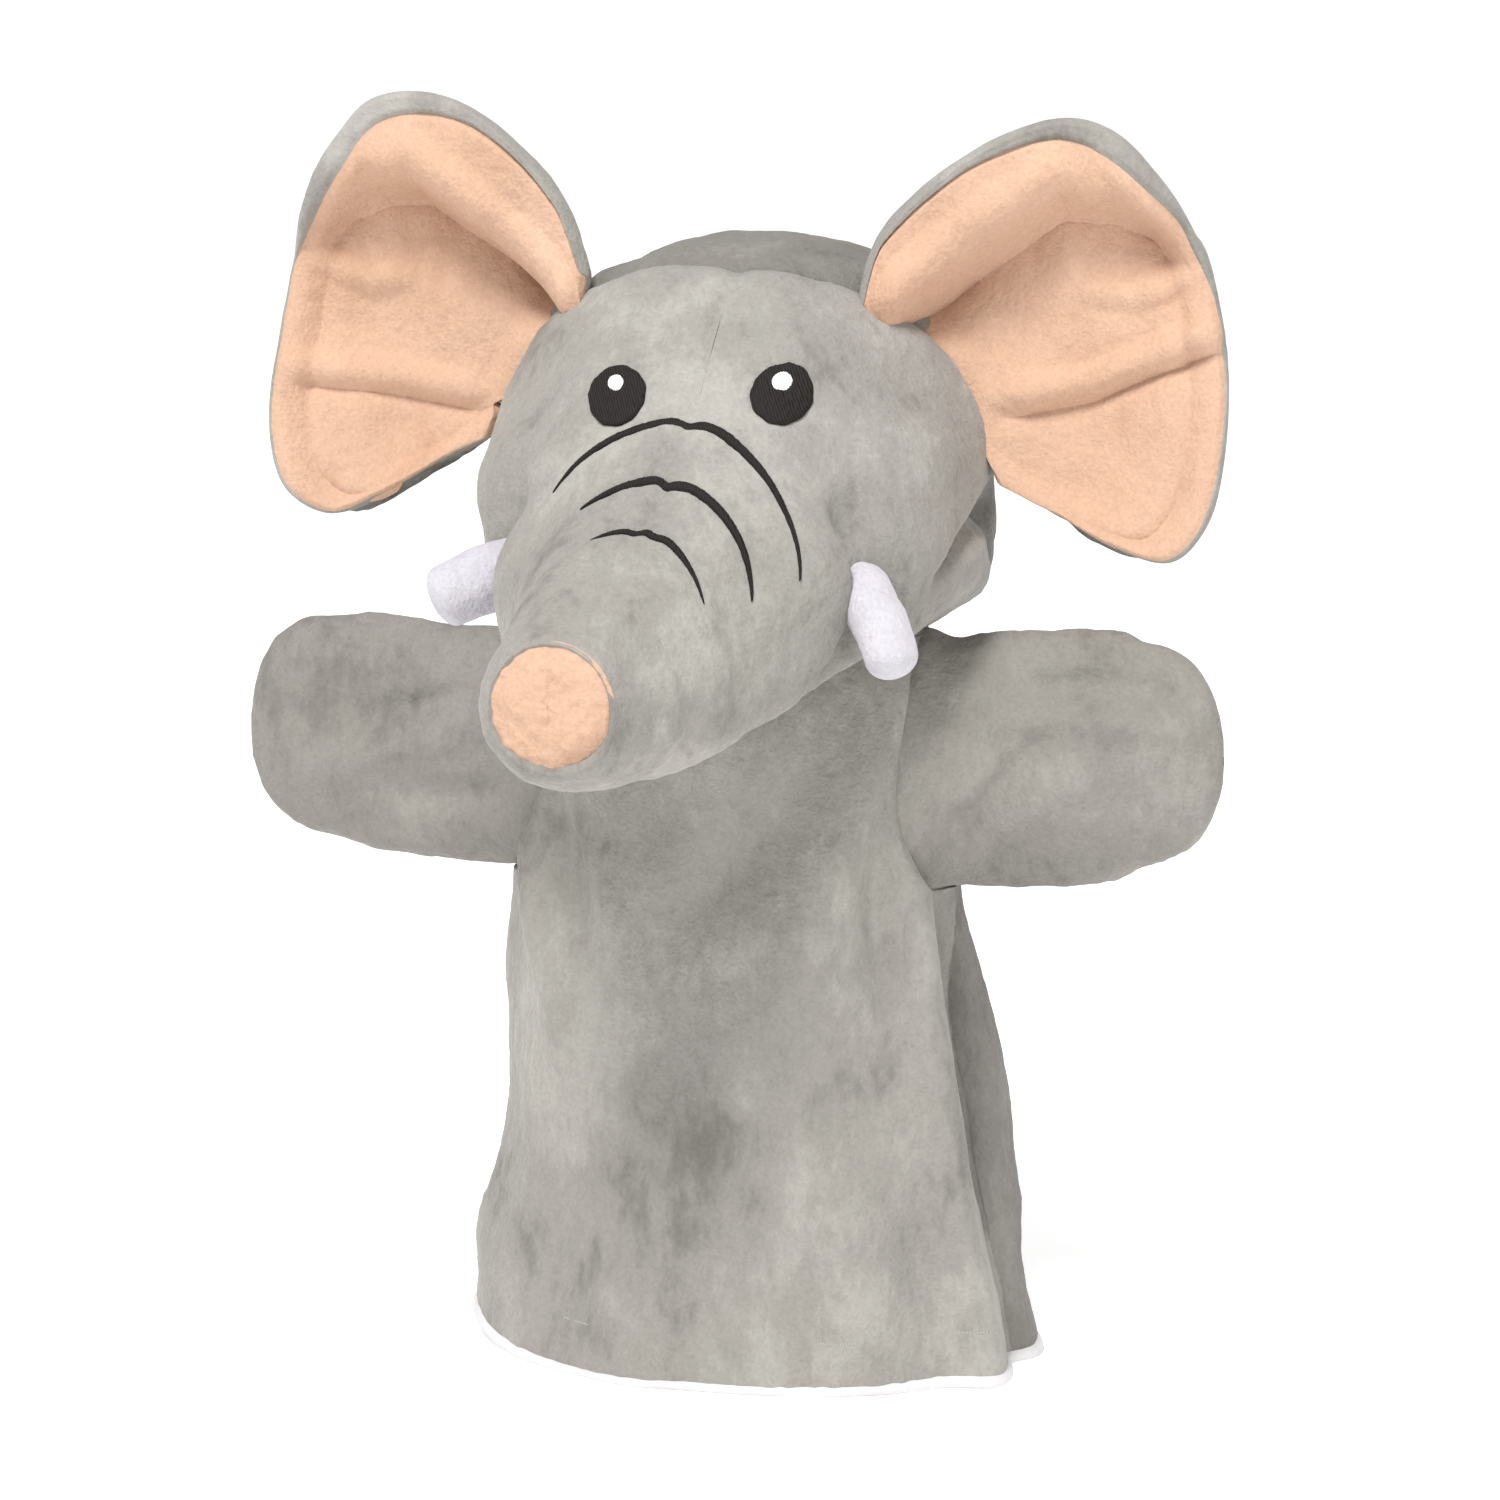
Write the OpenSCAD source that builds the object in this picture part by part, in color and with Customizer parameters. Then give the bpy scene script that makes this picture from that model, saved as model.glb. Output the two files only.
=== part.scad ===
// Plush elephant glove puppet: an open body with a lining for the hand, a stuffed head with a
// finger pocket, cupped ears, a bent trunk, two tusks and two flat arms with finger pockets.
// Millimetres, +Z up, the face looks along -Y, +X is the puppet's own left-hand side turned to
// the viewer's right. "left" and "right" in names are the viewer's left (-X) and right (+X).

/* [Body] */
// Half width of the open hem
hem_half_w = 60; // [54:1:66]
// Half depth of the open hem
hem_half_d = 40; // [34:1:46]
// Half width of the chest
chest_half_w = 45; // [42:1:46]
// Half depth of the chest
chest_half_d = 32; // [28:1:34]
// Height at which the stiff part of the body ends below the neck
body_top = 130; // [129:1:131]

/* [Cloth] */
// Thickness of the plush with its pile
plush = 2.0; // [1.4:0.1:2.4]
// Thickness of the lining cloth
lining = 0.8; // [0.6:0.1:1.0]
// Height of the white hem facing inside the body
facing_h = 14; // [10:1:20]

/* [Head] */
// Half width of the head at the cheeks
head_half_w = 52; // [48:1:53]
// Height of the crown of the head above the hem
crown_z = 229; // [224:1:234]
// Radius of the finger pocket in the head
pocket_r = 11.5; // [9:0.5:13]
// Depth of the finger pocket in the head
pocket_h = 50; // [36:1:56]
// Width of each embroidered eye
eye_w = 12; // [9:0.5:14]

/* [Trunk] */
// How far the trunk tip leans to the viewer's left
trunk_lean = 14; // [4:1:18]
// Radius of the round patch on the trunk end
patch_r = 11.5; // [9:0.5:12.5]

/* [Ears] */
// Reach of the ear rim from the centre line
ear_reach = 101; // [96:1:106]
// Depth of the cup in each ear
ear_cup = 8; // [4:1:12]

/* [Arms] */
// Reach of the arm tip from the centre line
arm_reach = 103; // [92:1:106]
// Height of the arm at its root
arm_h = 50; // [42:1:52]
// Thickness of the arm with a finger in it
arm_d = 20; // [16:1:22]

/* [Hidden] */
set_back = 23;          // moves the body axis back so that the whole part is centred
rise = 4;               // the hem lies this far below the zero of the heights used here
arm_x = 44;             // shoulder pivot from the centre line
arm_z = 121;            // shoulder pivot height
arm_gap = 18;           // from the shoulder pivot to the first stiff cloth of the arm
trunk_p = [-2, -63.5, 156]; // pivot of the trunk, from the body axis
head_end = -51;         // y at which the stiff head ends and the trunk root begins
tip_start = -76;        // y at which the stiff trunk tip begins
$fn = 48;

// Which node to build

// ---------- smooth curves through a few stations ----------
function cr(a, b, c, d, t) =
  0.5 * (2 * b + (c - a) * t + (2 * a - 5 * b + 4 * c - d) * t * t
         + (3 * b - a - 3 * c + d) * t * t * t);
function along(P, u) =
  let (n = len(P) - 1, i = max(0, min(floor(u * n), n - 1)), t = u * n - i)
  cr(i > 0 ? P[i - 1] : 2 * P[0] - P[1], P[i], P[i + 1],
     i + 2 <= n ? P[i + 2] : 2 * P[n] - P[n - 1], t);
// station whose first entry is v, by walking along the curve
function at(P, v, lo = 0, hi = 1, k = 22) =
  let (m = (lo + hi) / 2, q = along(P, m))
  k == 0 ? q
  : ((q[0] - v) * (P[0][0] - v) > 0 ? at(P, v, m, hi, k - 1) : at(P, v, lo, m, k - 1));
function spow(v, e) = sign(v) * pow(abs(v), e);
function flat(G) = [for (r = G) for (p = r) p];
function mix(a, b, t) = a + (b - a) * t;

// ---------- closed skins from two grids of points ----------
function quads(n, r0, r1, c0, c1, o, f) =
  [for (i = [r0:r1 - 1], j = [c0:c1 - 1])
    let (a = o + i * n + j, b = o + i * n + j + 1, c = o + (i + 1) * n + j + 1, d = o + (i + 1) * n + j)
    each (f ? [[a, b, c], [a, c, d]] : [[a, c, b], [a, d, c]])];
function rim(a, b) =
  [for (k = [0:len(a) - 2]) each [[a[k], b[k], b[k + 1]], [a[k], b[k + 1], a[k + 1]]]];
function live(P, F) = [for (f = F)
  if (norm(cross(P[f[1]] - P[f[0]], P[f[2]] - P[f[0]])) > 1e-7) f];
function volume6(P, F) =
  [for (f = F) P[f[0]] * cross(P[f[1]], P[f[2]])] * [for (f = F) 1];
module closed(P, F) {
  G = live(P, F);
  polyhedron(P, volume6(P, G) > 0 ? [for (f = G) [f[0], f[2], f[1]]] : G, convexity = 6);
}
// A is the outer grid and B the inner grid, both rows of points. A ring repeats its first point.
module skin(A, B, ring = false) {
  m = len(A) - 1;
  n = len(A[0]);
  o = (m + 1) * n;
  P = concat(flat(A), flat(B));
  start = rim([for (j = [0:n - 1]) j], [for (j = [0:n - 1]) o + j]);
  end = rim([for (j = [0:n - 1]) o + m * n + j], [for (j = [0:n - 1]) m * n + j]);
  low = ring ? [] : rim([for (i = [0:m]) o + i * n], [for (i = [0:m]) i * n]);
  high = ring ? [] : rim([for (i = [0:m]) i * n + n - 1], [for (i = [0:m]) o + i * n + n - 1]);
  closed(P, concat(quads(n, 0, m, 0, n - 1, 0, true), quads(n, 0, m, 0, n - 1, o, false),
                   start, end, low, high));
}
// a solid from full rings, with both ends closed
module plug(A) {
  m = len(A) - 1;
  n = len(A[0]);
  P = concat(flat(A), [mid(A[0])], [mid(A[m])]);
  a = (m + 1) * n;
  closed(P, concat(quads(n, 0, m, 0, n - 1, 0, true),
                   [for (j = [0:n - 2]) [a, j + 1, j]],
                   [for (j = [0:n - 2]) [a + 1, m * n + j, m * n + j + 1]]));
}
function mid(r) = let (n = len(r) - 1) [for (k = [0:2]) ([for (j = [0:n - 1]) r[j][k]] * [for (j = [0:n - 1]) 1]) / n];
// a band whose cross-section is a closed loop of points
module hoop(A) {
  m = len(A) - 1;
  n = len(A[0]);
  closed(flat(A), quads(n, 0, m, 0, n - 1, 0, true));
}

// ---------- body ----------
// how far the collar slopes in from the chest, which leaves the chin room to nod
collar_in = 10;
// height, half width, half depth
body_rows = [[-rise, hem_half_w, hem_half_d], [11, hem_half_w - 3.4, hem_half_d - 1.5],
  [46, hem_half_w - 8.5, hem_half_d - 4], [80, mix(hem_half_w, chest_half_w, 0.86), chest_half_d + 1.5],
  [108, chest_half_w, chest_half_d], [124, chest_half_w - 3, chest_half_d - 2.5],
  [body_top, chest_half_w - 8, chest_half_d - collar_in]];
function body_pt(u, z, off) =
  let (s = at(body_rows, z)) [(s[1] - off) * spow(sin(u), 0.96), -(s[2] - off) * spow(cos(u), 0.96), z];
// how far the side edges are pulled back for the armholes
function hole(z) = z < 92 ? 0 : 32 * min(1, (z - 92) / 5);
body_z = [-rise, 1, 6, 11, 24, 35, 46, 58, 70, 81, 92, 94.5, 97, 103, 109, 115, 120, 124, 127, body_top];
function panel_rows(side, off, from, to) =
  [for (z = body_z) if (z >= from && z <= to)
    [for (k = [0:14])
      let (r = 90 - hole(z), u = mix(-r, r, k / 14)) body_pt(side + u, z, off)]];
function hoop_loop(u, h) = let (z = -rise)
  [body_pt(u, z, -0.4), body_pt(u, z + 1.2, -0.4), body_pt(u, z + 1.2, plush + lining),
   body_pt(u, z + h, plush + lining), body_pt(u, z + h, plush + 2 * lining),
   body_pt(u, z, plush + 2 * lining), body_pt(u, z, -0.4)];

module front_body_panel() {
  color([0.62, 0.60, 0.57]) place() skin(lift(panel_rows(0, 0, -rise, 200)), lift(panel_rows(0, plush, -rise, 200)));
}
module back_body_panel() {
  color([0.45, 0.43, 0.41]) place() skin(lift(panel_rows(180, 0, -rise, 200)), lift(panel_rows(180, plush, -rise, 200)));
}
module front_lining() {
  color([0.93, 0.93, 0.92])
    place() skin(lift(panel_rows(0, plush, -rise, 200)), lift(panel_rows(0, plush + lining, -rise, 200)));
}
module back_lining() {
  color([0.93, 0.93, 0.92])
    place() skin(lift(panel_rows(180, plush, -rise, 200)), lift(panel_rows(180, plush + lining, -rise, 200)));
}
// the plush starts just above the white facing that wraps under it
function lift(G) = [for (i = [0:len(G) - 1]) i > 0 ? G[i] : [for (p = G[0]) [p[0], p[1], 1.2 - rise]]];
module hem_facing() {
  color([0.95, 0.95, 0.94]) place() hoop([for (k = [0:48]) hoop_loop(k * 7.5, facing_h)]);
}
module hem_stitching() {
  color([0.55, 0.53, 0.50])
    place() hoop([for (k = [0:48])
      let (u = k * 7.5) [body_pt(u, 6, 0.02), body_pt(u, 6, -0.6), body_pt(u, 6.8, -0.6),
                         body_pt(u, 6.8, 0.02), body_pt(u, 6, 0.02)]]);
}
module side_seam(side) {
  z = [for (z = body_z) if (z >= 24 && z <= 92) z];
  place() skin([for (h = z) [for (u = [-3.75, 0, 3.75]) body_pt(side + u, h, plush + lining)]],
               [for (h = z) [for (u = [-3.75, 0, 3.75]) body_pt(side + u, h, plush + lining + 2.2)]]);
}
module left_side_seam() { color([0.40, 0.38, 0.36]) side_seam(-90); }
module right_side_seam() { color([0.40, 0.38, 0.36]) side_seam(90); }

// ---------- neck ----------
neck_rows = [[body_top + 0.6, chest_half_w - 8, chest_half_d - collar_in], [139, 32, 24], [143.5, 28, 22]];
function neck_pt(u, z, off) =
  let (s = at(neck_rows, z)) [(s[1] - off) * sin(u), -(s[2] - off) * cos(u), z];
function neck_grid(off) = [for (t = [0:4])
  [for (k = [0:48]) neck_pt(k * 7.5, mix(neck_rows[0][0] + 0.001, 143.499, t / 4), off)]];
module neck_cloth() {
  color([0.50, 0.48, 0.46]) place() skin(neck_grid(0), neck_grid(plush), true);
}
module neck_lining() {
  color([0.93, 0.93, 0.92])
    place() translate([0, 0, 128])
      difference() {
        cylinder(r = pocket_r + 4, h = 15);
        translate([0, 0, -1]) cylinder(r = pocket_r + 4 - lining, h = 17);
      }
}

// ---------- head ----------
// y, centre x, half width, top, bottom
head_rows = [[47, 0, head_half_w * 0.17, crown_z - 30, 178], [44.5, 0, head_half_w * 0.50, crown_z - 13, 161],
  [37, 0, head_half_w * 0.76, crown_z - 5, 151], [22, 0, head_half_w * 0.94, crown_z - 0.5, 146.5],
  [4, 0, head_half_w, crown_z, 146], [-14, 0, head_half_w * 0.99, crown_z - 3, 146],
  [-30, -0.5, head_half_w * 0.885, crown_z - 14, 143], [-42, -1.3, head_half_w * 0.75, crown_z - 29, 139.2],
  [head_end, -2, head_half_w * 0.63, crown_z - 38.5, 135.4]];
trunk_rows = [[head_end, -2, head_half_w * 0.63, crown_z - 38.5, 135.4],
  [-60, -trunk_lean * 0.27, 28, 182.5, 131.5], [-75, -trunk_lean * 0.62, 20.5, 171.5, 128.8],
  [-84, -trunk_lean * 0.85, 16.5, 165, 130], [-90.5, -trunk_lean, patch_r + 1.8, 147.5 + patch_r + 1.6,
  147.5 - patch_r - 1.6]];
function middle_z(s) = mix(s[4], s[3], 0.40);
// point on a ring: a = 0 is the top, 90 is +X; off goes inward
function ring_pt(s, a, off, y) =
  let (c = middle_z(s), e = cos(a) > 0 ? 0.97 : mix(0.68, 0.97, min(1, max(0, (-y - 30) / 20))))
  [s[1] + (s[2] - off) * spow(sin(a), e), y,
   c + (cos(a) > 0 ? s[3] - off - c : c - s[4] - off) * spow(cos(a), e)];
function head_pt(v, a, off) =
  let (s = along(head_rows, v)) ring_pt(s, a, off, s[0] - off * max(0, 1 - v * 2.2));
function trunk_pt(y, a, off) = ring_pt(at(trunk_rows, y), a, off, y);
head_v = [for (k = [0:14]) k / 14];
// the back of the head closes on one point
function pole(n, off) = [[for (j = [0:n]) [0, head_rows[0][0] + 1 - off, 0.4 * head_rows[0][3] + 0.6 * head_rows[0][4]]]];
function head_grid(r0, r1, c0, c1, off) = concat(r0 == 0 ? pole(c1 - c0, off) : [],
  [for (i = [r0:r1]) [for (j = [c0:c1]) head_pt(head_v[i], j * 7.5, off)]]);
crown_row = 8;
module head_piece(r0, r1, c0, c1) {
  place() skin(head_grid(r0, r1, c0, c1, 0), head_grid(r0, r1, c0, c1, plush));
}
module left_face_panel() { color([0.66, 0.64, 0.61]) head_piece(crown_row, 14, 34, 48); }
module right_face_panel() { color([0.64, 0.62, 0.59]) head_piece(crown_row, 14, 0, 14); }
module left_cheek_panel() { color([0.55, 0.53, 0.51]) head_piece(crown_row, 14, 28, 34); }
module right_cheek_panel() { color([0.55, 0.53, 0.51]) head_piece(crown_row, 14, 14, 20); }
module chin_panel() { color([0.48, 0.46, 0.44]) head_piece(10, 14, 20, 28); }
module back_head_panel() {
  // the crown and back, an arch that leaves the neck open underneath
  color([0.40, 0.38, 0.36]) place() skin(back_grid(0), back_grid(plush));
}
// columns run from one side of the neck opening over the crown to the other side
function back_grid(off) = concat(pole(40, off),
  [for (i = [0:crown_row]) [for (j = [0:40]) head_pt(head_v[i], mix(-150, 150, j / 40), off)]]);
module nape_panel() { color([0.38, 0.36, 0.34]) head_piece(0, 5, 20, 28); }
module head_stuffing() {
  color([0.97, 0.97, 0.95])
    place() difference() {
      plug(head_grid(1, 14, 0, 48, plush));
      translate([0, 0, 100]) cylinder(r = pocket_r + 1.3, h = 46 + pocket_h + 2.3);
    }
}
module finger_pocket() {
  color([0.90, 0.90, 0.88])
    place() translate([0, 0, 146])
      difference() {
        cylinder(r = pocket_r + 1, h = pocket_h + 1);
        translate([0, 0, -1]) cylinder(r = pocket_r, h = pocket_h + 1);
      }
}
// a round or oval pad that follows the head: centre row v, angle a, half sizes in mm
module pad(v, a, w, h, low, high) {
  up = 1.12;
  grid = function(off) [for (i = [0:2]) [for (k = [0:24])
    let (r = i / 2, q = k * 15, x = w * r * cos(q), z = h * r * sin(q))
    head_pt(v - z / 128, a + x * up, off)]];
  place() skin(grid(-high), grid(low), true);
}
module left_eye() { color([0.08, 0.08, 0.08]) pad(0.78, -29, eye_w / 2, eye_w * 0.48, 0.4, 0.9); }
module right_eye() { color([0.08, 0.08, 0.08]) pad(0.78, 29, eye_w / 2, eye_w * 0.48, 0.4, 0.9); }
module left_eye_highlight() {
  color([0.95, 0.95, 0.95]) pad(0.771, -29, eye_w * 0.14, eye_w * 0.14, -0.7, 1.3);
}
module right_eye_highlight() {
  color([0.95, 0.95, 0.95]) pad(0.771, 29, eye_w * 0.14, eye_w * 0.14, -0.7, 1.3);
}
// tusks: a rounded cone that points outward, forward and a little down
module tusk_at(side) {
  place() translate([side * 37.5, -38.5, 161]) rotate([90, 0, side * 48]) rotate([12, 0, 0]) children();
}
module tusk_skin() {
  rotate_extrude() difference() {
    tusk_profile(0);
    tusk_profile(1.2);
  }
}
module tusk_profile(off) {
  intersection() {
    union() {
      polygon([[0, off * 0.8], [8.2 - off, off * 0.8], [5.6 - off, 15], [0, 15]]);
      translate([0, 14.6]) circle(r = 5.65 - off);
    }
    translate([0, -1]) square([12, 30]);
  }
}
module left_tusk() { color([0.92, 0.91, 0.93]) tusk_at(-1) tusk_skin(); }
module right_tusk() { color([0.92, 0.91, 0.93]) tusk_at(1) tusk_skin(); }
module left_tusk_stuffing() {
  color([0.97, 0.97, 0.95]) tusk_at(-1) rotate_extrude() tusk_profile(1.3);
}
module right_tusk_stuffing() {
  color([0.97, 0.97, 0.95]) tusk_at(1) rotate_extrude() tusk_profile(1.3);
}

// ---------- trunk ----------
function trunk_grid(y0, y1, n, c0, c1, off) =
  [for (i = [0:n]) [for (j = [c0:c1]) trunk_pt(mix(y0, y1, i / n), j * 7.5, off)]];
module trunk_root_cloth() {
  color([0.60, 0.58, 0.55])
    place() skin(trunk_grid(head_end - 0.3, tip_start + 0.3, 5, 0, 48, 0),
                 trunk_grid(head_end - 0.3, tip_start + 0.3, 5, 0, 48, plush), true);
}
module trunk_root_core() { color([0.97, 0.97, 0.95]) place() translate(trunk_p) sphere(r = 11); }
// a thread ridge over the trunk: y at the crest, how far it runs down each side, how far it leans back
module crease(y, reach, back) {
  grid = function(off, w) [for (i = [0:24])
    let (t = i / 12 - 1, a = reach * t, half = w * (1 - 0.75 * t * t), yy = y + back * t * t)
    [trunk_pt(yy + half, a, off), trunk_pt(yy, a, off - (off < 0 ? 0.3 : 0)), trunk_pt(yy - half, a, off)]];
  place() skin(grid(-0.6, 1.3), grid(0.5, 1.3));
}
module upper_crease_stitching() { color([0.1, 0.1, 0.1]) crease(-53.5, 68, -4); }
module middle_crease_stitching() { color([0.1, 0.1, 0.1]) crease(-61.5, 58, -3); }
module lower_crease_stitching() { color([0.1, 0.1, 0.1]) crease(-69, 44, -2); }
tip_end = -90.5;
module trunk_tip_top() {
  color([0.60, 0.58, 0.55])
    place() skin(trunk_grid(tip_start, tip_end, 4, -14, 14, 0), trunk_grid(tip_start, tip_end, 4, -14, 14, plush));
}
module trunk_tip_underside() {
  color([0.50, 0.48, 0.46])
    place() skin(trunk_grid(tip_start, tip_end, 4, 14, 34, 0), trunk_grid(tip_start, tip_end, 4, 14, 34, plush));
}
module trunk_tip_stuffing() {
  color([0.97, 0.97, 0.95]) place() plug(trunk_grid(tip_start, tip_end, 4, 0, 48, plush));
}
module trunk_end_patch() {
  color([0.90, 0.77, 0.68])
    place() translate([-trunk_lean, tip_end, 147.5]) rotate([90, 0, 0]) {
      cylinder(r = patch_r + 1.2, h = 1.6);
      translate([0, 0, 1.6]) cylinder(r1 = patch_r + 1.2, r2 = patch_r - 1, h = 1.9);
    }
}

// ---------- ears ----------
// outline from the lower root round the rim to the upper root, and the root line: x, z
ear_rim = [[57, 177], [66, 171], [79, 164.5], [91.5, 165], [99, 175], [ear_reach, 190], [ear_reach - 0.7, 207],
  [97, 224], [90.5, 239], [80.5, 250], [69, 252.5], [56, 247.5], [45, 239], [39, 230.5], [39.5, 221.5]];
ear_root = [[57, 178], [54.5, 190], [49.5, 203], [41, 219]];
function ear_pt(s, t, off) =
  let (b = along(ear_root, t), r = along(ear_rim, t), q = mix(b, r, s))
  [q[0], 3 + ear_cup * (sin(180 * pow(s, 0.8)) * (0.35 + 0.65 * sin(180 * t))) + 2 * s * sin(180 * t) + off, q[1]];
function ear_grid(off) = [for (i = [0:6]) [for (j = [0:26]) ear_pt(i / 6, j / 26, off)]];
module ear(near, far) { place() skin(ear_grid(near), ear_grid(far)); }
module right_ear_front() { color([0.90, 0.77, 0.68]) ear(-1.7, 0); }
module right_ear_back() { color([0.55, 0.53, 0.51]) ear(0, 1.8); }
module left_ear_front() { color([0.90, 0.77, 0.68]) mirror([1, 0, 0]) ear(-1.7, 0); }
module left_ear_back() { color([0.55, 0.53, 0.51]) mirror([1, 0, 0]) ear(0, 1.8); }

// ---------- arms ----------
// outward distance from the shoulder pivot, half height, half depth, middle height
arm_len = arm_reach - arm_x;
shoulder_rows = [[-3.5, arm_h * 0.47, arm_d * 0.78, arm_z + 0.5], [5, arm_h * 0.48, arm_d * 0.60, arm_z],
  [arm_gap - 0.4, arm_h * 0.47, arm_d * 0.50, arm_z]];
arm_rows = [[arm_gap, arm_h * 0.47, arm_d * 0.50, arm_z], [arm_len * 0.55, arm_h * 0.51, arm_d * 0.45, arm_z],
  [arm_len * 0.78, arm_h * 0.49, arm_d * 0.38, arm_z - 0.5], [arm_len * 0.93, arm_h * 0.36, arm_d * 0.27, arm_z - 1.5],
  [arm_len * 0.985, arm_h * 0.20, arm_d * 0.15, arm_z - 2]];
// a = 0 is the top seam, 90 the front, 180 the bottom seam
function arm_ring(s, a, off) =
  [arm_x + s[0] - off * s[0] / arm_len, -(s[2] - off * 0.62) * spow(sin(a), 0.9),
   s[3] + (s[1] - off) * spow(cos(a), 0.9)];
function rings(rows) = 2 * (len(rows) - 1);
function arm_grid(rows, a0, a1, n, off, tip) = concat(
  [for (i = [0:rings(rows)]) [for (k = [0:n]) arm_ring(along(rows, i / rings(rows)), mix(a0, a1, k / n), off)]],
  tip ? [[for (k = [0:n]) [arm_x + arm_len - off, 0, arm_z - 2]]] : []);
module arm_skin(a0, a1) {
  place() skin(arm_grid(arm_rows, a0, a1, 14, 0, true), arm_grid(arm_rows, a0, a1, 14, plush, true));
}
module right_shoulder_cloth() {
  color([0.58, 0.56, 0.53])
    place() skin(arm_grid(shoulder_rows, 0, 360, 28, 0.3, false), arm_grid(shoulder_rows, 0, 360, 28, plush, false), true);
}
module right_arm_front() { color([0.64, 0.62, 0.59]) arm_skin(0, 180); }
module right_arm_back() { color([0.48, 0.46, 0.44]) arm_skin(180, 360); }
module right_arm_lining() {
  color([0.93, 0.93, 0.92])
    place() skin(arm_grid(arm_rows, 0, 360, 28, plush, true), arm_grid(arm_rows, 0, 360, 28, plush + lining, true), true);
}
module left_shoulder_cloth() { mirror([1, 0, 0]) right_shoulder_cloth(); }
module left_arm_front() { mirror([1, 0, 0]) right_arm_front(); }
module left_arm_back() { mirror([1, 0, 0]) right_arm_back(); }
module left_arm_lining() { mirror([1, 0, 0]) right_arm_lining(); }

module place() { translate([0, set_back, rise]) children(); }

front_body_panel();
back_body_panel();
front_lining();
back_lining();
hem_facing();
hem_stitching();
left_side_seam();
right_side_seam();
neck_cloth();
neck_lining();
left_face_panel();
right_face_panel();
left_cheek_panel();
right_cheek_panel();
chin_panel();
nape_panel();
back_head_panel();
head_stuffing();
finger_pocket();
left_eye();
right_eye();
left_eye_highlight();
right_eye_highlight();
left_tusk();
right_tusk();
left_tusk_stuffing();
right_tusk_stuffing();
trunk_root_cloth();
trunk_root_core();
upper_crease_stitching();
middle_crease_stitching();
lower_crease_stitching();
trunk_tip_top();
trunk_tip_underside();
trunk_tip_stuffing();
trunk_end_patch();
left_ear_front();
left_ear_back();
right_ear_front();
right_ear_back();
left_shoulder_cloth();
left_arm_front();
left_arm_back();
left_arm_lining();
right_shoulder_cloth();
right_arm_front();
right_arm_back();
right_arm_lining();
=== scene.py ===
"""Plush elephant glove puppet: looks.

Shapes are in millimetres from the body axis, and go to metres in mesh().
"""
import math

import bpy
import numpy as np
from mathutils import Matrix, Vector


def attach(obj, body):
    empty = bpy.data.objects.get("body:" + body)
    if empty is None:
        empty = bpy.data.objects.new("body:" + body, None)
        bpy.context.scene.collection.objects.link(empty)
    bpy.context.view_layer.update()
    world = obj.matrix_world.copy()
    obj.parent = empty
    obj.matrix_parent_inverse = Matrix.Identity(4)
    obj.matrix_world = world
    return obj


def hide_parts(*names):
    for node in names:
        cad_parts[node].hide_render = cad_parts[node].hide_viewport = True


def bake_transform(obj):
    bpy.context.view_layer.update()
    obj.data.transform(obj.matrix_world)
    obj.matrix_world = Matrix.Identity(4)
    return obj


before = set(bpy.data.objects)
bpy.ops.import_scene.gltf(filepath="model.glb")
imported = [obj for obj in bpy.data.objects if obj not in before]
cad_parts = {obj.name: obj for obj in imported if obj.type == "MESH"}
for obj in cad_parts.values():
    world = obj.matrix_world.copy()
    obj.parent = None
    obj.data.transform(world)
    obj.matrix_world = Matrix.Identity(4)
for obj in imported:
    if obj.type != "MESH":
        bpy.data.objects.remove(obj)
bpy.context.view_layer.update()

AXIS_Y = 23.0  # the body axis stands this far behind the row origin
RISE = 4.0  # the hem lies this far below the zero of the heights used here
RAD = math.pi / 180


# ---------------------------------------------------------------- small maths
def curve(stations, u):
    """Smooth curve through the stations at u in 0..1, for an array of u."""
    P = np.array(stations, float)
    n = len(P) - 1
    P = np.vstack([2 * P[0] - P[1], P, 2 * P[n] - P[n - 1]])
    x = np.clip(np.asarray(u, float), 0, 1) * n
    i = np.clip(np.floor(x).astype(int), 0, n - 1)
    t = (x - i)[..., None]
    a, b, c, d = P[i], P[i + 1], P[i + 2], P[i + 3]
    return 0.5 * (2 * b + (c - a) * t + (2 * a - 5 * b + 4 * c - d) * t**2 + (3 * b - a - 3 * c + d) * t**3)


def by_first(stations, value):
    """The station values where the first column equals value (array)."""
    fine = curve(stations, np.linspace(0, 1, 600))
    if fine[0, 0] > fine[-1, 0]:
        fine = fine[::-1]
    return np.stack([np.interp(value, fine[:, 0], fine[:, k]) for k in range(fine.shape[1])], -1)


def spow(v, e):
    return np.sign(v) * np.abs(v) ** e


def hill(x, width):
    """1 at x = 0, falling smoothly to nothing at about 2 widths."""
    return np.exp(-((x / width) ** 2))


def step(x, a, b):
    t = np.clip((x - a) / (b - a), 0, 1)
    return t * t * (3 - 2 * t)


def noise(P, size, seed=0):
    """Smooth value noise in -1..1 with features about `size` mm wide."""
    Q = np.asarray(P, float) / size + 97.3 * (seed + 1)
    i = np.floor(Q).astype(np.int64)
    f = Q - i
    f = f * f * (3 - 2 * f)
    out = 0
    for dx in (0, 1):
        for dy in (0, 1):
            for dz in (0, 1):
                h = (i[..., 0] + dx) * 73856093 ^ (i[..., 1] + dy) * 19349663
                h = h ^ (i[..., 2] + dz) * 83492791 ^ seed * 7919
                h = (h ^ (h >> 13)) * 1274126177 & 0xFFFFFFFF
                v = ((h ^ (h >> 16)) & 0xFFFF) / 32767.5 - 1
                w = (f[..., 0] if dx else 1 - f[..., 0]) * (f[..., 1] if dy else 1 - f[..., 1])
                out = out + v * w * (f[..., 2] if dz else 1 - f[..., 2])
    return out


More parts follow.
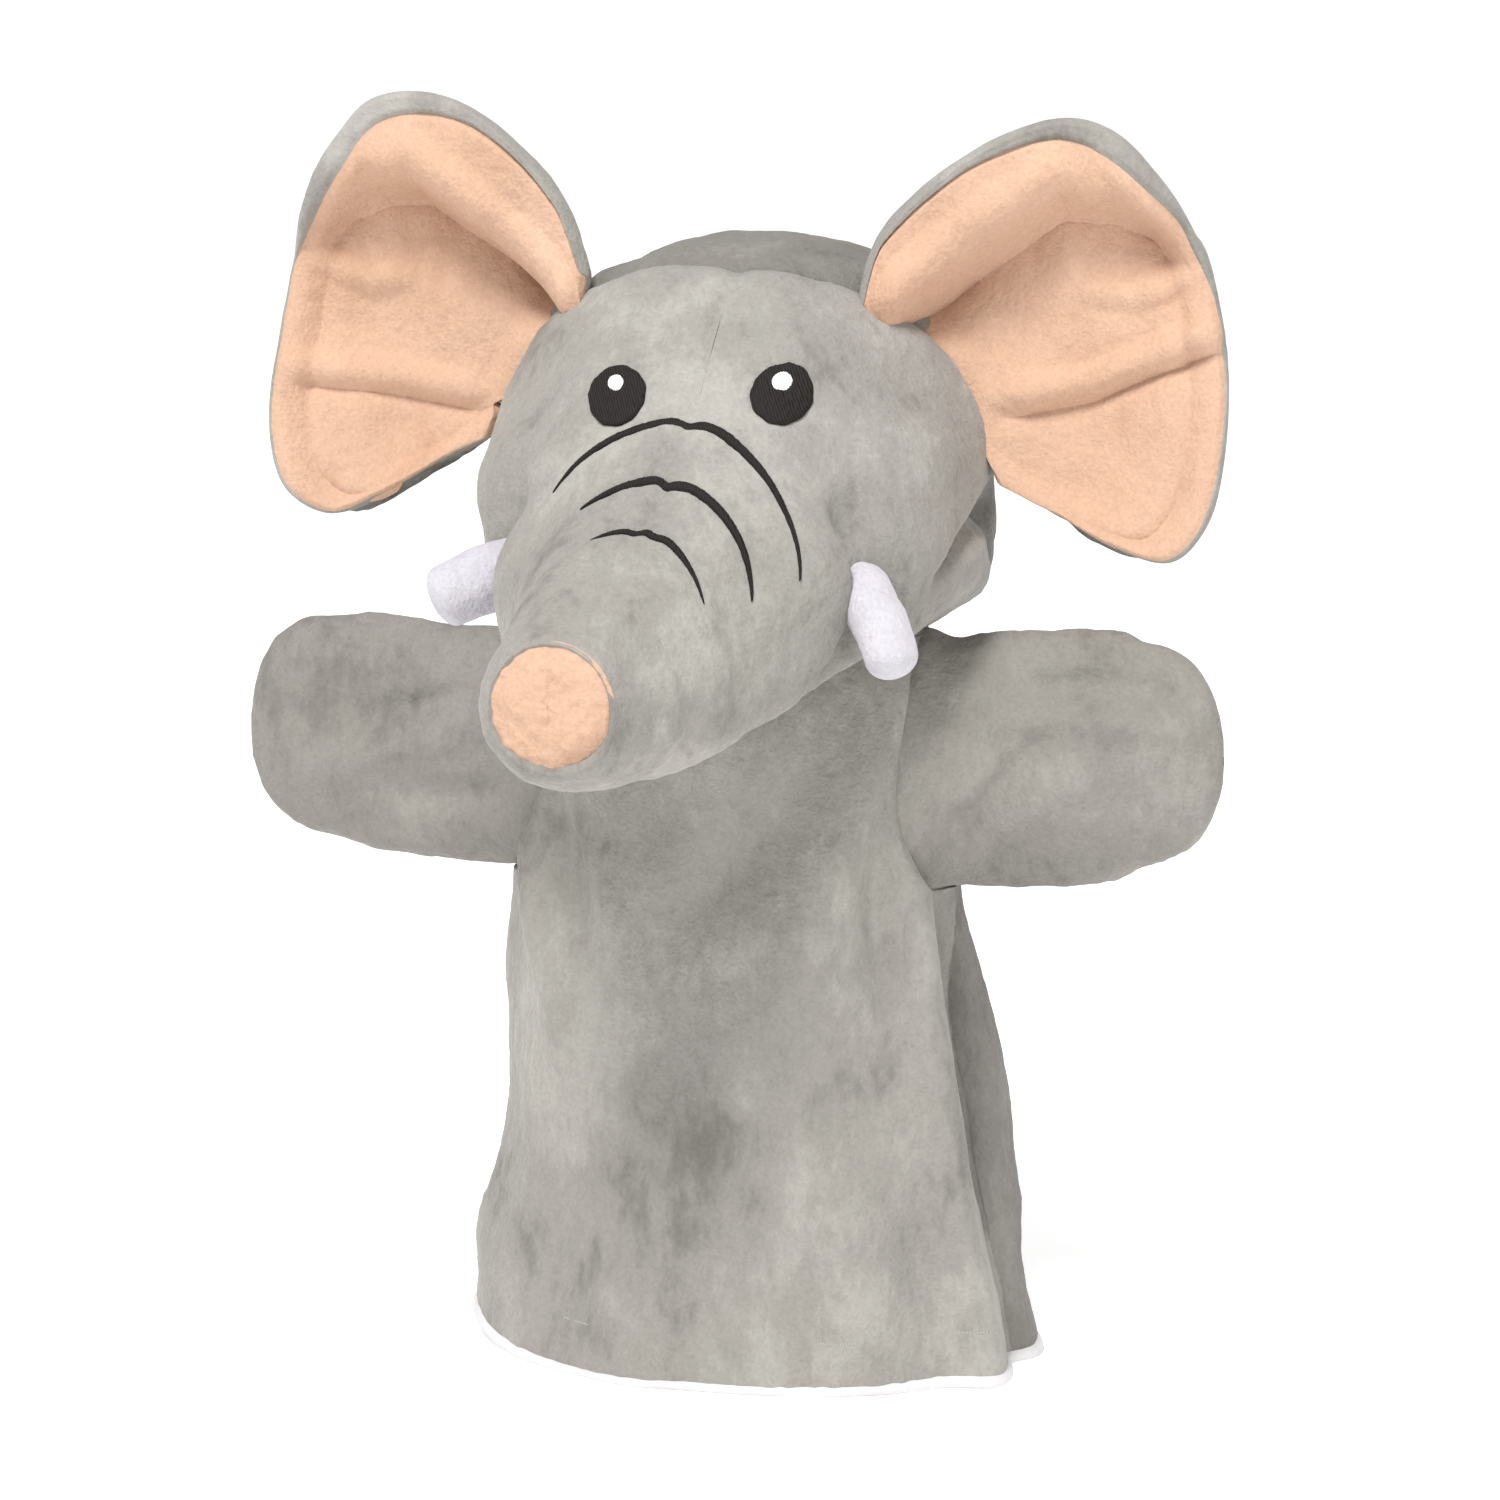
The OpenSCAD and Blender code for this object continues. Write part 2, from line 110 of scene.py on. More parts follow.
def normals(G):
    """Unit normals of a grid of points."""
    du = np.gradient(G, axis=0)
    dv = np.gradient(G, axis=1)
    N = np.cross(du, dv)
    return N / np.maximum(np.linalg.norm(N, axis=-1, keepdims=True), 1e-9)


def wrap_normals(G):
    """The same for rings whose last column repeats the first."""
    E = np.concatenate([G[:, -2:-1], G, G[:, 1:2]], 1)
    return normals(E)[:, 1:-1]


# ---------------------------------------------------------------- meshes
def mesh(name, V, F, material):
    me = bpy.data.meshes.new(name)
    V = np.array(V, float).reshape(-1, 3) + (0, AXIS_Y, RISE)
    me.from_pydata((V / 1000).tolist(), [], F if isinstance(F, list) else F.tolist())
    me.validate()
    me.polygons.foreach_set("use_smooth", [True] * len(me.polygons))
    me.set_sharp_from_angle(angle=1.1)  # rims stay crisp, so that neighbouring panels shade alike
    me.update()
    o = bpy.data.objects.new(name, me)
    bpy.context.collection.objects.link(o)
    me.materials.append(material)
    return o


def rim(a, b):
    a, b = np.array(a), np.array(b)
    return np.stack([a[:-1], b[:-1], b[1:], a[1:]], 1)


def outward(V, F):
    """Faces turned so that the closed shape's volume is positive."""
    T = V[F]
    vol = np.einsum("ij,ij->i", T[:, 0], np.cross(T[:, 1], T[:, 2])).sum()
    vol += np.einsum("ij,ij->i", T[:, 0], np.cross(T[:, 2], T[:, 3])).sum()
    return F if vol > 0 else F[:, ::-1]


def skin(name, A, B, material, ring=False):
    """A closed cloth from an outer grid A and an inner grid B."""
    m, n = A.shape[:2]
    if ring:
        A, B = A[:, :-1], B[:, :-1]
        n -= 1
    o = m * n
    V = np.vstack([A.reshape(-1, 3), B.reshape(-1, 3)])
    g = np.arange(o).reshape(m, n)
    if ring:
        g = np.hstack([g, g[:, :1]])
    top = np.stack([g[:-1, :-1], g[:-1, 1:], g[1:, 1:], g[1:, :-1]], -1).reshape(-1, 4)
    F = [top, top[:, ::-1] + o, rim(g[0], g[0] + o)[:, ::-1], rim(g[-1], g[-1] + o)]
    if not ring:
        F += [rim(g[:, 0], g[:, 0] + o), rim(g[:, -1], g[:, -1] + o)[:, ::-1]]
    F = outward(V, np.vstack(F))
    return mesh(name, V, F, material)


def solid(name, A, material):
    """A closed solid from full rings; its ends close on their middle points."""
    m, n = A.shape[0], A.shape[1] - 1
    V = np.vstack([A[:, :-1].reshape(-1, 3), A[0, :-1].mean(0)[None], A[-1, :-1].mean(0)[None]])
    g = np.arange(m * n).reshape(m, n)
    g = np.hstack([g, g[:, :1]])
    side = np.stack([g[:-1, :-1], g[:-1, 1:], g[1:, 1:], g[1:, :-1]], -1).reshape(-1, 4)
    T = V[side]
    vol = np.einsum("ij,ij->i", T[:, 0], np.cross(T[:, 1], T[:, 2])).sum()
    caps = [[m * n, g[0, j + 1], g[0, j]] for j in range(n)]
    caps += [[m * n + 1, g[-1, j], g[-1, j + 1]] for j in range(n)]
    faces = side.tolist() + caps
    if vol < 0:
        faces = [f[::-1] for f in faces]
    return mesh(name, V, [[int(k) for k in f] for f in faces], material)


def pile(G, N, amount=0.28):
    """The short pile: a little uneven all over, so that outlines aren't drawn with a ruler."""
    h = amount * (0.55 * noise(G, 1.7, 3) + 0.45 * noise(G, 3.6, 5)) + 0.35 * noise(G, 14, 6)
    return G + N * h[..., None]


def plush(name, G, material, t=2.0, ring=False, amount=0.28, out=1):
    N = (wrap_normals(G) if ring else normals(G)) * out
    return skin(name, pile(G, N, amount), G - N * t, material, ring)


def grid(m, n, a0, a1, b0, b1):
    return np.meshgrid(np.linspace(a0, a1, m), np.linspace(b0, b1, n), indexing="ij")


# ---------------------------------------------------------------- materials
def new_material(name):
    m = bpy.data.materials.new(name)
    m.use_nodes = True
    nt = m.node_tree
    return m, nt, nt.nodes["Principled BSDF"]


def put(nt, kind, **inputs):
    n = nt.nodes.new(kind)
    for k, v in inputs.items():
        n.inputs[k.replace("_", " ")].default_value = v
    return n


def plush_material(name, light, dark, tint, patch=30.0, fine=1.0, sheen=0.35, contrast=1.0,
                   streak=(1, 1, 0.45)):
    """Short brushed pile: soft patches where it lies differently, streaks along it, a fine grain."""
    m, nt, b = new_material(name)
    link = nt.links.new
    tc = nt.nodes.new("ShaderNodeTexCoord")
    stretch = put(nt, "ShaderNodeMapping", Scale=streak)
    link(tc.outputs["Object"], stretch.inputs["Vector"])

    def fractal(scale, detail, rough, source, distortion=0.0):
        n = put(nt, "ShaderNodeTexNoise", Scale=scale, Detail=detail, Roughness=rough, Distortion=distortion)
        link(source, n.inputs["Vector"])
        return n.outputs["Fac"]

    def maths(op, a, c, clamp=False):
        n = nt.nodes.new("ShaderNodeMath")
        n.operation = op
        n.use_clamp = clamp
        for k, v in enumerate((a, c)):
            if isinstance(v, (int, float)):
                n.inputs[k].default_value = v
            else:
                link(v, n.inputs[k])
        return n.outputs[0]

    big = fractal(patch, 3.0, 0.5, tc.outputs["Object"], 0.4)
    mid = fractal(patch * 3.2, 3.0, 0.5, stretch.outputs["Vector"], 0.2)
    small = fractal(patch * 16, 3.0, 0.6, stretch.outputs["Vector"])
    grain = fractal(1100.0 * fine, 2.0, 0.6, tc.outputs["Object"])
    total = maths("ADD", maths("MULTIPLY", big, 0.50 * contrast), maths("MULTIPLY", mid, 0.30 * contrast))
    total = maths("ADD", total, maths("MULTIPLY", small, 0.20 * contrast))
    total = maths("ADD", total, 0.5 - 0.5 * contrast)
    ramp = nt.nodes.new("ShaderNodeValToRGB")
    ramp.color_ramp.interpolation = "EASE"
    e = ramp.color_ramp.elements
    e[0].position, e[0].color = 0.36, (*dark, 1)
    e[1].position, e[1].color = 0.62, (*light, 1)
    e.new(0.485).color = (*[(x * 0.55 + y * 0.45) for x, y in zip(light, dark)], 1)
    link(total, ramp.inputs["Fac"])
    hue = nt.nodes.new("ShaderNodeMix")
    hue.data_type = "RGBA"
    hue.blend_type = "MULTIPLY"
    link(maths("MULTIPLY", fractal(patch * 0.8, 2.0, 0.5, tc.outputs["Object"]), 0.9), hue.inputs[0])
    link(ramp.outputs["Color"], hue.inputs[6])
    hue.inputs[7].default_value = (*tint, 1)
    speck = nt.nodes.new("ShaderNodeMix")
    speck.data_type = "RGBA"
    speck.blend_type = "MULTIPLY"
    speck.inputs[0].default_value = 1.0
    link(hue.outputs[2], speck.inputs[6])
    shade = maths("ADD", maths("MULTIPLY", grain, 0.34), 0.83)
    comb = nt.nodes.new("ShaderNodeCombineColor")
    for k in range(3):
        link(shade, comb.inputs[k])
    link(comb.outputs[0], speck.inputs[7])
    link(speck.outputs[2], b.inputs["Base Color"])
    b.inputs["Roughness"].default_value = 0.92
    b.inputs["Specular IOR Level"].default_value = 0.18
    b.inputs["Sheen Weight"].default_value = sheen
    b.inputs["Sheen Roughness"].default_value = 0.45
    b.inputs["Sheen Tint"].default_value = (*[min(1, x * 1.3 + 0.1) for x in light], 1)
    bump = put(nt, "ShaderNodeBump", Strength=0.55, Distance=0.0006)
    link(maths("ADD", grain, maths("MULTIPLY", small, 1.2)), bump.inputs["Height"])
    link(bump.outputs["Normal"], b.inputs["Normal"])
    return m


def cloth_material(name, colour, scale=900.0, strength=0.3, rough=0.85, vary=0.12):
    """A plain woven or brushed cloth with a fine two-way weave."""
    m, nt, b = new_material(name)
    link = nt.links.new
    tc = nt.nodes.new("ShaderNodeTexCoord")
    w = put(nt, "ShaderNodeTexWave", Scale=scale / 6.28, Distortion=1.5, Detail=1.0)
    w2 = put(nt, "ShaderNodeTexWave", Scale=scale / 6.28, Distortion=1.5, Detail=1.0)
    w2.bands_direction = "Z"
    n = put(nt, "ShaderNodeTexNoise", Scale=60.0, Detail=4.0)
    for x in (w, w2, n):
        link(tc.outputs["Object"], x.inputs["Vector"])
    ramp = nt.nodes.new("ShaderNodeValToRGB")
    e = ramp.color_ramp.elements
    e[0].position, e[0].color = 0.3, (*[x * (1 - vary) for x in colour], 1)
    e[1].position, e[1].color = 0.7, (*colour, 1)
    link(n.outputs["Fac"], ramp.inputs["Fac"])
    link(ramp.outputs["Color"], b.inputs["Base Color"])
    add = nt.nodes.new("ShaderNodeMath")
    link(w.outputs["Fac"], add.inputs[0])
    link(w2.outputs["Fac"], add.inputs[1])
    bump = put(nt, "ShaderNodeBump", Strength=strength, Distance=0.0003)
    link(add.outputs[0], bump.inputs["Height"])
    link(bump.outputs["Normal"], b.inputs["Normal"])
    b.inputs["Roughness"].default_value = rough
    b.inputs["Sheen Weight"].default_value = 0.15
    return m


def thread_material(name, colour, rough=0.5, lift=0.3):
    """Satin stitch: threads side by side, with painted highlight on their crowns and painted shade in the
    grooves between them.
    """
    m, nt, b = new_material(name)
    link = nt.links.new
    tc = nt.nodes.new("ShaderNodeTexCoord")
    mp = put(nt, "ShaderNodeMapping", Rotation=(0.0, 0.45, 0.0))
    link(tc.outputs["Object"], mp.inputs["Vector"])
    w = put(nt, "ShaderNodeTexWave", Scale=620.0, Distortion=2.2, Detail=2.0)
    link(mp.outputs["Vector"], w.inputs["Vector"])
    # the colour follows the stitch relief: painted shade in the grooves between threads, painted highlight on
    # their crowns
    ramp = nt.nodes.new("ShaderNodeValToRGB")
    e = ramp.color_ramp.elements
    e[0].color = (*[x * 0.6 for x in colour], 1)
    e[1].color = (*[min(1, x * 1.5 + 0.004) for x in colour], 1)
    link(w.outputs["Fac"], ramp.inputs["Fac"])
    link(ramp.outputs["Color"], b.inputs["Base Color"])
    bump = put(nt, "ShaderNodeBump", Strength=lift, Distance=0.0004)
    link(w.outputs["Fac"], bump.inputs["Height"])
    link(bump.outputs["Normal"], b.inputs["Normal"])
    b.inputs["Roughness"].default_value = rough
    b.inputs["Specular IOR Level"].default_value = 0.2
    return m


GREY = plush_material("grey_plush", (0.325, 0.306, 0.290), (0.165, 0.153, 0.143), (0.96, 1.0, 0.92),
                      patch=26.0)
GREY_ARM = plush_material("grey_plush_arm", (0.275, 0.257, 0.241), (0.155, 0.144, 0.134), (0.96, 1.0, 0.92),
                          patch=22.0)
# painted shade: a darker copy of the grey plush for the parts that lie in shade (back panel, back of the
# head, nape, neck), also used for the hidden seam allowances
GREY_SHADED = plush_material("grey_plush_painted_shade", (0.215, 0.201, 0.188), (0.115, 0.107, 0.099), (0.97, 1.0, 0.93))
PEACH = plush_material("peach_plush", (0.545, 0.365, 0.268), (0.455, 0.285, 0.196), (1.0, 0.97, 0.93),
                       patch=22.0, contrast=0.8, sheen=0.2)
WHITE_PLUSH = plush_material("tusk_plush", (0.50, 0.482, 0.51), (0.43, 0.413, 0.445), (0.98, 0.98, 1.0),
                             patch=60.0, sheen=0.3)
LINING = cloth_material("white_lining", (0.60, 0.585, 0.59))
FIBRE = cloth_material("white_fibre", (0.85, 0.85, 0.83), scale=300.0, strength=0.5)
BLACK = thread_material("black_thread", (0.009, 0.007, 0.006), rough=0.7)
WHITE = thread_material("white_thread", (0.85, 0.85, 0.85), lift=0.2)
SEAM = thread_material("grey_thread", (0.30, 0.285, 0.27))


# ---------------------------------------------------------------- head and trunk
# y, centre x, half width, top, bottom
HEAD = [(48.2, 0, 0.6, 190.5, 189.3), (47, 0, 9, 199, 178), (44.5, 0, 26, 216, 161),
        (37, 0, 39.5, 224, 151), (22, 0, 49, 229, 146.5), (4, 0, 52, 230, 146),
        (-14, 0, 51.5, 226.5, 146), (-30, -0.5, 46, 215.5, 143), (-45.5, -1.5, 37.5, 196.5, 137.5),
        (-60, -4, 28.5, 183, 131.5), (-75, -9.5, 21.2, 172, 129.2), (-84, -12.5, 17.3, 165.5, 130.5),
        (-89.5, -14, 14.6, 161.8, 133.2), (-92.3, -14.2, 12.2, 159.6, 135.6)]


def head_surface(u, a, folds=True):
    """u runs 0..1 from the back of the head to the trunk end, a is degrees from the top, 90 is +X."""
    s = curve(HEAD, u)
    y, cx, rx, top, bot = (s[..., k] for k in range(5))
    c = bot + 0.40 * (top - bot)
    sa, ca = np.sin(a * RAD), np.cos(a * RAD)
    up = np.where(ca > 0, top - c, c - bot)
    k = np.ones_like(y)
    if folds:
        side = np.abs(((a + 180) % 360) - 180)  # 0 on top, 180 underneath
        sgn = np.sign(sa)
        right = step(sgn, -0.5, 0.5)
        k = k + 0.040 * hill(y + 34, 8) * hill(side - 88, 32)  # cheeks stand out behind the trunk
        # fold where the trunk starts
        k = k - 0.125 * hill(y + 43.5, 3.4) * step(side, 50, 68) * (1 - step(side, 125, 150))
        k = k + 0.060 * hill(y + 53, 6) * hill(side - 75, 38)  # the trunk swells after the fold
        k = k - 0.024 * hill(a_wrap(a - 4), 2.6) * step(-y, 12, 17) * (1 - step(-y, 62, 78))  # centre seam
        k = k - 0.022 * hill(y - crown_seam(a), 1.8)  # seam over the crown
        dart = hill(side - 94 + (y + 5) * 0.12, 2.8)
        k = k - 0.085 * dart * step(y, -34, -20) * (1 - step(y, 6, 16)) * (0.35 + 0.65 * right)
        k = k + 0.032 * hill(side - 113, 12) * hill(y + 2, 15) * right  # lobe under the dart
        k = k - 0.060 * hill(side - 132, 14) * hill(y + 22, 12)
        k = k - 0.060 * hill(y + 24, 10) * hill(side - 50, 17)  # hollow beside the brow
        k = k + 0.045 * hill(y + 37, 5) * hill(side - 62, 14)  # ridge from the eye to the cheek
        k = k + 0.022 * hill(y + 41, 5) * hill(side - 24, 12)  # brow over each eye
        k = k - 0.030 * hill(y + 30, 6) * hill(side - 12, 9)
        # rings round the trunk
        k = k - 0.060 * hill(y + 67 + 0.05 * a_wrap(a - 60), 2.8) * hill(a_wrap(a - 75), 50)
        k = k + 0.030 * hill(y + 72, 3) * hill(a_wrap(a - 85), 70)
        k = k - 0.065 * hill(y + 78.5 - 0.04 * a_wrap(a - 60), 2.2) * hill(a_wrap(a - 88), 55)
        k = k - 0.035 * hill(y + 83.5, 1.8) * hill(a_wrap(a - 100), 60)
        k = k - 0.040 * hill(y + 59, 3.0) * hill(a_wrap(a - 125), 30)
        k = k - 0.085 * hill(y + 12, 26) * hill(a_wrap(a + 104), 26)  # the viewer's left cheek is flatter
    e = np.where(ca > 0, 0.97, 0.60 + 0.37 * step(y, -22, -54))  # jowls are square, the trunk is round
    x = cx + rx * k * spow(sa, e)
    z = c + up * k * spow(ca, e)
    return np.stack([x, y, z], -1)


def crown_seam(a):
    """The seam between face and crown comes forward over the forehead."""
    return 5 - 21 * np.maximum(np.cos(np.asarray(a) * RAD), 0) ** 2


def a_wrap(a):
    return (np.asarray(a) + 180) % 360 - 180


FINE_U = np.linspace(0, 1, 1500)
FINE_Y = curve(HEAD, FINE_U)[:, 0]


def u_of_y(y):
    return np.interp(-np.asarray(y, float), -FINE_Y, FINE_U)


def head_wrinkles(G):
    """Soft uneven swells of the stuffed skin."""
    return 1.5 * noise(G * (1, 1, 1.3), 19, 11) + 0.8 * noise(G, 10, 12)


def head_piece(name, y0, y1, m, a0, a1, n, material, t=2.0, ring=False, back_pole=False):
    K, A = grid(m, n, 0, 1, a0, a1)
    first = 0.0 * A if back_pole else u_of_y(y0(A) if callable(y0) else y0 + 0 * A)
    U = first + (u_of_y(y1(A) if callable(y1) else y1 + 0 * A) - first) * K
    G = head_surface(U, A)
    N = -(wrap_normals(G) if ring else normals(G))
    if ((G - (0, 0, 175)) * N).sum() < 0:
        N = -N
    G = G + N * head_wrinkles(G)[..., None]
    return skin(name, pile(G, N), G - N * t, material, ring)


crown_y, root_y, split_y, tip_y = crown_seam, -47.0, -61.0, -92.3


def stand_for(o, *nodes):
    """The piece o is shown in place of these CAD nodes."""
    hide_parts(*nodes)
    return o


def bend(o, a, b, start, end):
    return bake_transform(o)


for nm, a0, a1, cols in (("left_face", -96, 4, 150), ("right_face", 4, 96, 150),
                         ("left_cheek", -150, -96, 90), ("right_cheek", 96, 150, 90)):
    node = nm + "_panel"
    o = head_piece(nm, crown_y, root_y, 90, a0, a1, cols, GREY)
    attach(stand_for(o, node), "head")
o = head_piece("chin", -15, root_y, 50, 150, 210, 90, GREY)
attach(stand_for(o, "chin_panel"), "head")
# the back of the head and the nape get the darker copy of the grey plush: painted shade
o = head_piece("back_of_head", 0, crown_y, 120, -150, 150, 360, GREY_SHADED, back_pole=True)
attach(stand_for(o, "back_head_panel"), "head")
o = head_piece("nape", 0, 20, 60, 150, 210, 70, GREY_SHADED, back_pole=True)
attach(stand_for(o, "nape_panel"), "head")
o = head_piece("trunk_root", root_y, split_y, 60, -180, 180, 420, GREY, ring=True)
stand_for(o, "trunk_root_cloth")
bend(o, "head", "trunk_root", (0, -46, 160), (0, -60, 160))
o = head_piece("trunk_front", split_y, tip_y, 110, -180, 180, 380, GREY, ring=True)
stand_for(o, "trunk_tip_top", "trunk_tip_underside")
bend(o, "trunk_root", "trunk_tip", (0, -61, 160), (0, -75, 160))

# round peach end of the trunk, slightly crowned, sewn in with a small ditch round it
R, Q = grid(34, 120, 0.0, 1.0, 0, 360)
END_X, END_Z, END_R = -14.2, 147.6, 12.6  # middle and radius of the patch
crown = -91.4 - 2.6 * (1 - R**2.6) + 0.4 * noise(np.stack([R * 3, Q / 60, R], -1), 0.7, 4)
G = np.stack([END_X + END_R * R * np.sin(Q * RAD), crown, END_Z + END_R * R * np.cos(Q * RAD)], -1)
N = np.zeros_like(G)
N[..., 1] = -1
face = G + N * (0.35 * noise(G, 1.6, 8) + 0.5 * noise(G, 6, 9))[..., None] * (R[..., None] < 0.97)
under = (G - (END_X, 0, END_Z)) * (0.92, 1, 0.92) + (END_X, 1.5, END_Z)
o = skin("trunk_end", face, under, PEACH, ring=True)
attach(stand_for(o, "trunk_end_patch"), "trunk_tip")


# ---------------------------------------------------------------- embroidery
def surface_at(y, a, lift):
    y, a = np.asarray(y, float), np.asarray(a, float)
    u = u_of_y(y)
    e = 0.002
    G = head_surface(u, a)
    along = head_surface(u + e, a) - head_surface(u - e, a)
    N = np.cross(along, head_surface(u, a + 1) - head_surface(u, a - 1))
    N /= np.maximum(np.linalg.norm(N, axis=-1, keepdims=True), 1e-9)
    st = curve(HEAD, u)
    out = G - np.stack([st[..., 1], y + 12, st[..., 4] * 0.6 + st[..., 3] * 0.4], -1)
    N = np.where((out * N).sum(-1, keepdims=True) < 0, -N, N)
    return G + N * (np.asarray(lift) + head_wrinkles(G))[..., None], N


def crease(name, y0, fwd_l, fwd_r, a_mid, a_l, a_r, width, node, bodies, dip=0.8):
    """A tapered satin-stitch line over the trunk."""
    T, S = grid(240, 13, -1, 1, -1, 1)
    a = a_mid + np.where(T < 0, -T * (a_l - a_mid), T * (a_r - a_mid))
    peak = y0 - np.where(T < 0, fwd_l, fwd_r) * np.abs(T) ** 1.18 - dip * hill(T, 0.10)
    uneven = 1 + 0.10 * noise(np.stack([T * 60, S * 0, S * 0], -1), 1.0, 2)
    half = width * (1 - np.abs(T) ** 2.2) ** 0.8 * uneven + 0.12
    lift = 0.10 + 0.55 * np.sqrt(np.maximum(1 - S**2, 0)) * (1 - 0.6 * np.abs(T) ** 3)
    lift = lift + 0.10 * noise(np.stack([T * 150, S * 1.5, S * 0], -1), 1.0, 7)
    G, _ = surface_at(peak + S * half, a, lift)
    B, _ = surface_at(peak + S * half, a, np.full_like(T, -0.9))
    o = skin(name, G, B, BLACK)
    stand_for(o, node)
    bend(o, *bodies)
    return o


ROOT = ("head", "trunk_root", (0, -46, 160), (0, -60, 160))
FRONT = ("trunk_root", "trunk_tip", (0, -61, 160), (0, -75, 160))
crease("upper_crease", -45.0, 6.0, 11.5, 4, -42, 66, 0.60, "upper_crease_stitching", ROOT)
crease("middle_crease", -55.5, 3.5, 8.0, 6, -27, 62, 0.64, "middle_crease_stitching", ROOT)
crease("lower_crease", -65.5, 3.0, 5.5, 12, -13, 52, 0.58, "lower_crease_stitching", FRONT)


def face_y(x, z):
    """Front of the head at x, z, by halving."""
    lo, hi = np.full_like(x, -92.0), np.full_like(x, 0.0)
    for _ in range(30):
        mid = (lo + hi) / 2
        s = curve(HEAD, u_of_y(mid))
        c = s[..., 4] + 0.40 * (s[..., 3] - s[..., 4])
        h = np.where(z > c, s[..., 3] - c, c - s[..., 4])
        inside = np.abs((x - s[..., 1]) / s[..., 2]) ** 2.06 + np.abs((z - c) / h) ** 2.06 < 1
        hi = np.where(inside, mid, hi)
        lo = np.where(inside, lo, mid)
    return (lo + hi) / 2


def face_pad(name, cx, cz, w, h, tilt, height, base, material, node, rough=0.0):
    """A stitched oval on the face. Sizes are as seen from the front."""
    R, Q = grid(26, 96, 0.0, 1.0, 0, 360)
    wob = 1 + 0.012 * np.sin(5 * Q * RAD + 1) + 0.01 * np.sin(11 * Q * RAD)
    px, pz = w * R * wob * np.cos(Q * RAD), h * R * wob * np.sin(Q * RAD)
    x = cx + px * math.cos(tilt) - pz * math.sin(tilt)
    z = cz + px * math.sin(tilt) + pz * math.cos(tilt)
    y = face_y(x, z)
    s = curve(HEAD, u_of_y(y))
    c = s[..., 4] + 0.40 * (s[..., 3] - s[..., 4])
    h_ = np.where(z > c, s[..., 3] - c, c - s[..., 4])
    a = np.arctan2((x - s[..., 1]) / s[..., 2], (z - c) / h_) / RAD
    lift = base + height * (1 - R**4) ** 0.5 + rough * noise(np.stack([x * 1.4, y, z * 0.25], -1), 0.55, 21)
    G, _ = surface_at(y, a, lift)
    B, _ = surface_at(y, a, np.full_like(lift, -0.8))
    o = skin(name, G, B, material, ring=True)
    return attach(stand_for(o, node), "head")


face_pad("left_eye_stitch", -14.3, 200.6, 5.9, 5.6, 0.25, 0.8, 0.35,
         BLACK, "left_eye", 0.22)
face_pad("right_eye_stitch", 17.6, 201.8, 6.2, 5.8, -0.35, 0.8, 0.35,
         BLACK, "right_eye", 0.22)
face_pad("left_eye_dot", -14.4, 202.2, 1.55, 1.5, 0, 0.5, 1.1,
         WHITE, "left_eye_highlight")
face_pad("right_eye_dot", 17.2, 203.7, 1.95, 1.85, 0, 0.5, 1.1,
         WHITE, "right_eye_highlight")


# ---------------------------------------------------------------- tusks
def tusk(name, path, r0, r1, nodes):
    """A stuffed cone along a curved path, with a round end."""
    m, n = 80, 72
    T, Q = grid(m, n + 1, 0, 1, 0, 360)
    P = curve(path, T[:, 0])
    D = np.gradient(P, axis=0)
    D /= np.linalg.norm(D, axis=1, keepdims=True)
    side = np.cross(D, (0, 0, 1.0))
    side /= np.linalg.norm(side, axis=1, keepdims=True)
    up = np.cross(side, D)
    t = T[:, 0]
    r = (r0 + (r1 - r0) * t**0.9) * np.sqrt(np.clip(1 - np.clip((t - 0.80) / 0.2, 0, 1) ** 2.4, 0.0, 1))
    r = r + 0.05
    around = np.cos(Q * RAD)[..., None] * side[:, None] + np.sin(Q * RAD)[..., None] * up[:, None]
    G = P[:, None] + r[:, None, None] * around
    out = G - P[:, None]
    out /= np.maximum(np.linalg.norm(out, axis=-1, keepdims=True), 1e-9)
    G = G + out * (0.35 * noise(G, 5, 31) + 0.12 * noise(G, 1.4, 32))[..., None] * (1 - T[..., None] ** 8)
    o = solid(name, G, WHITE_PLUSH)
    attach(stand_for(o, *nodes), "head")


tusk("left_tusk_visual", [(-31, -38, 165.5), (-39, -43.5, 164.5), (-46, -47.5, 161.8), (-51, -50, 159.5)],
     7.6, 6.0, ("left_tusk", "left_tusk_stuffing"))
tusk("right_tusk_visual", [(32, -37, 167), (37, -44.0, 162), (41.5, -49, 156), (44.5, -52.5, 149)],
     5.6, 5.4, ("right_tusk", "right_tusk_stuffing"))


# ---------------------------------------------------------------- ears
# x and z of the rim, from the lowest corner outwards and over the top
RIM = {1: [(54, 180), (66, 174), (78, 168), (90, 165.5), (97.5, 174), (100.5, 190), (100, 208),
           (96.2, 225), (89.5, 239.5), (80, 251), (69, 255), (55.5, 251), (42, 242), (32, 231), (28, 217)],
       -1: [(54, 186.5), (66, 180.5), (78, 173.5), (90, 169), (99.6, 175), (102.8, 188), (101, 204),
            (98, 220), (93.5, 233.5), (85.2, 247.5), (75.5, 257), (61, 258), (47.2, 251.5), (35.2, 238.5),
            (28.8, 222)]}
RIM_Y = [2, 2, 1, 0, 0, 1, 2, 1, -2, -6, -9, -11, -12, -13, -13]
ROOT_LINE = [(48.5, 2, 196), (41, -2, 205), (30, -11, 214)]
# x and z of the line where the hollow starts
LIP = ((30, 208), (39, 218), (49, 226), (59, 233), (67, 238.5), (76, 238), (86, 233), (100, 222))


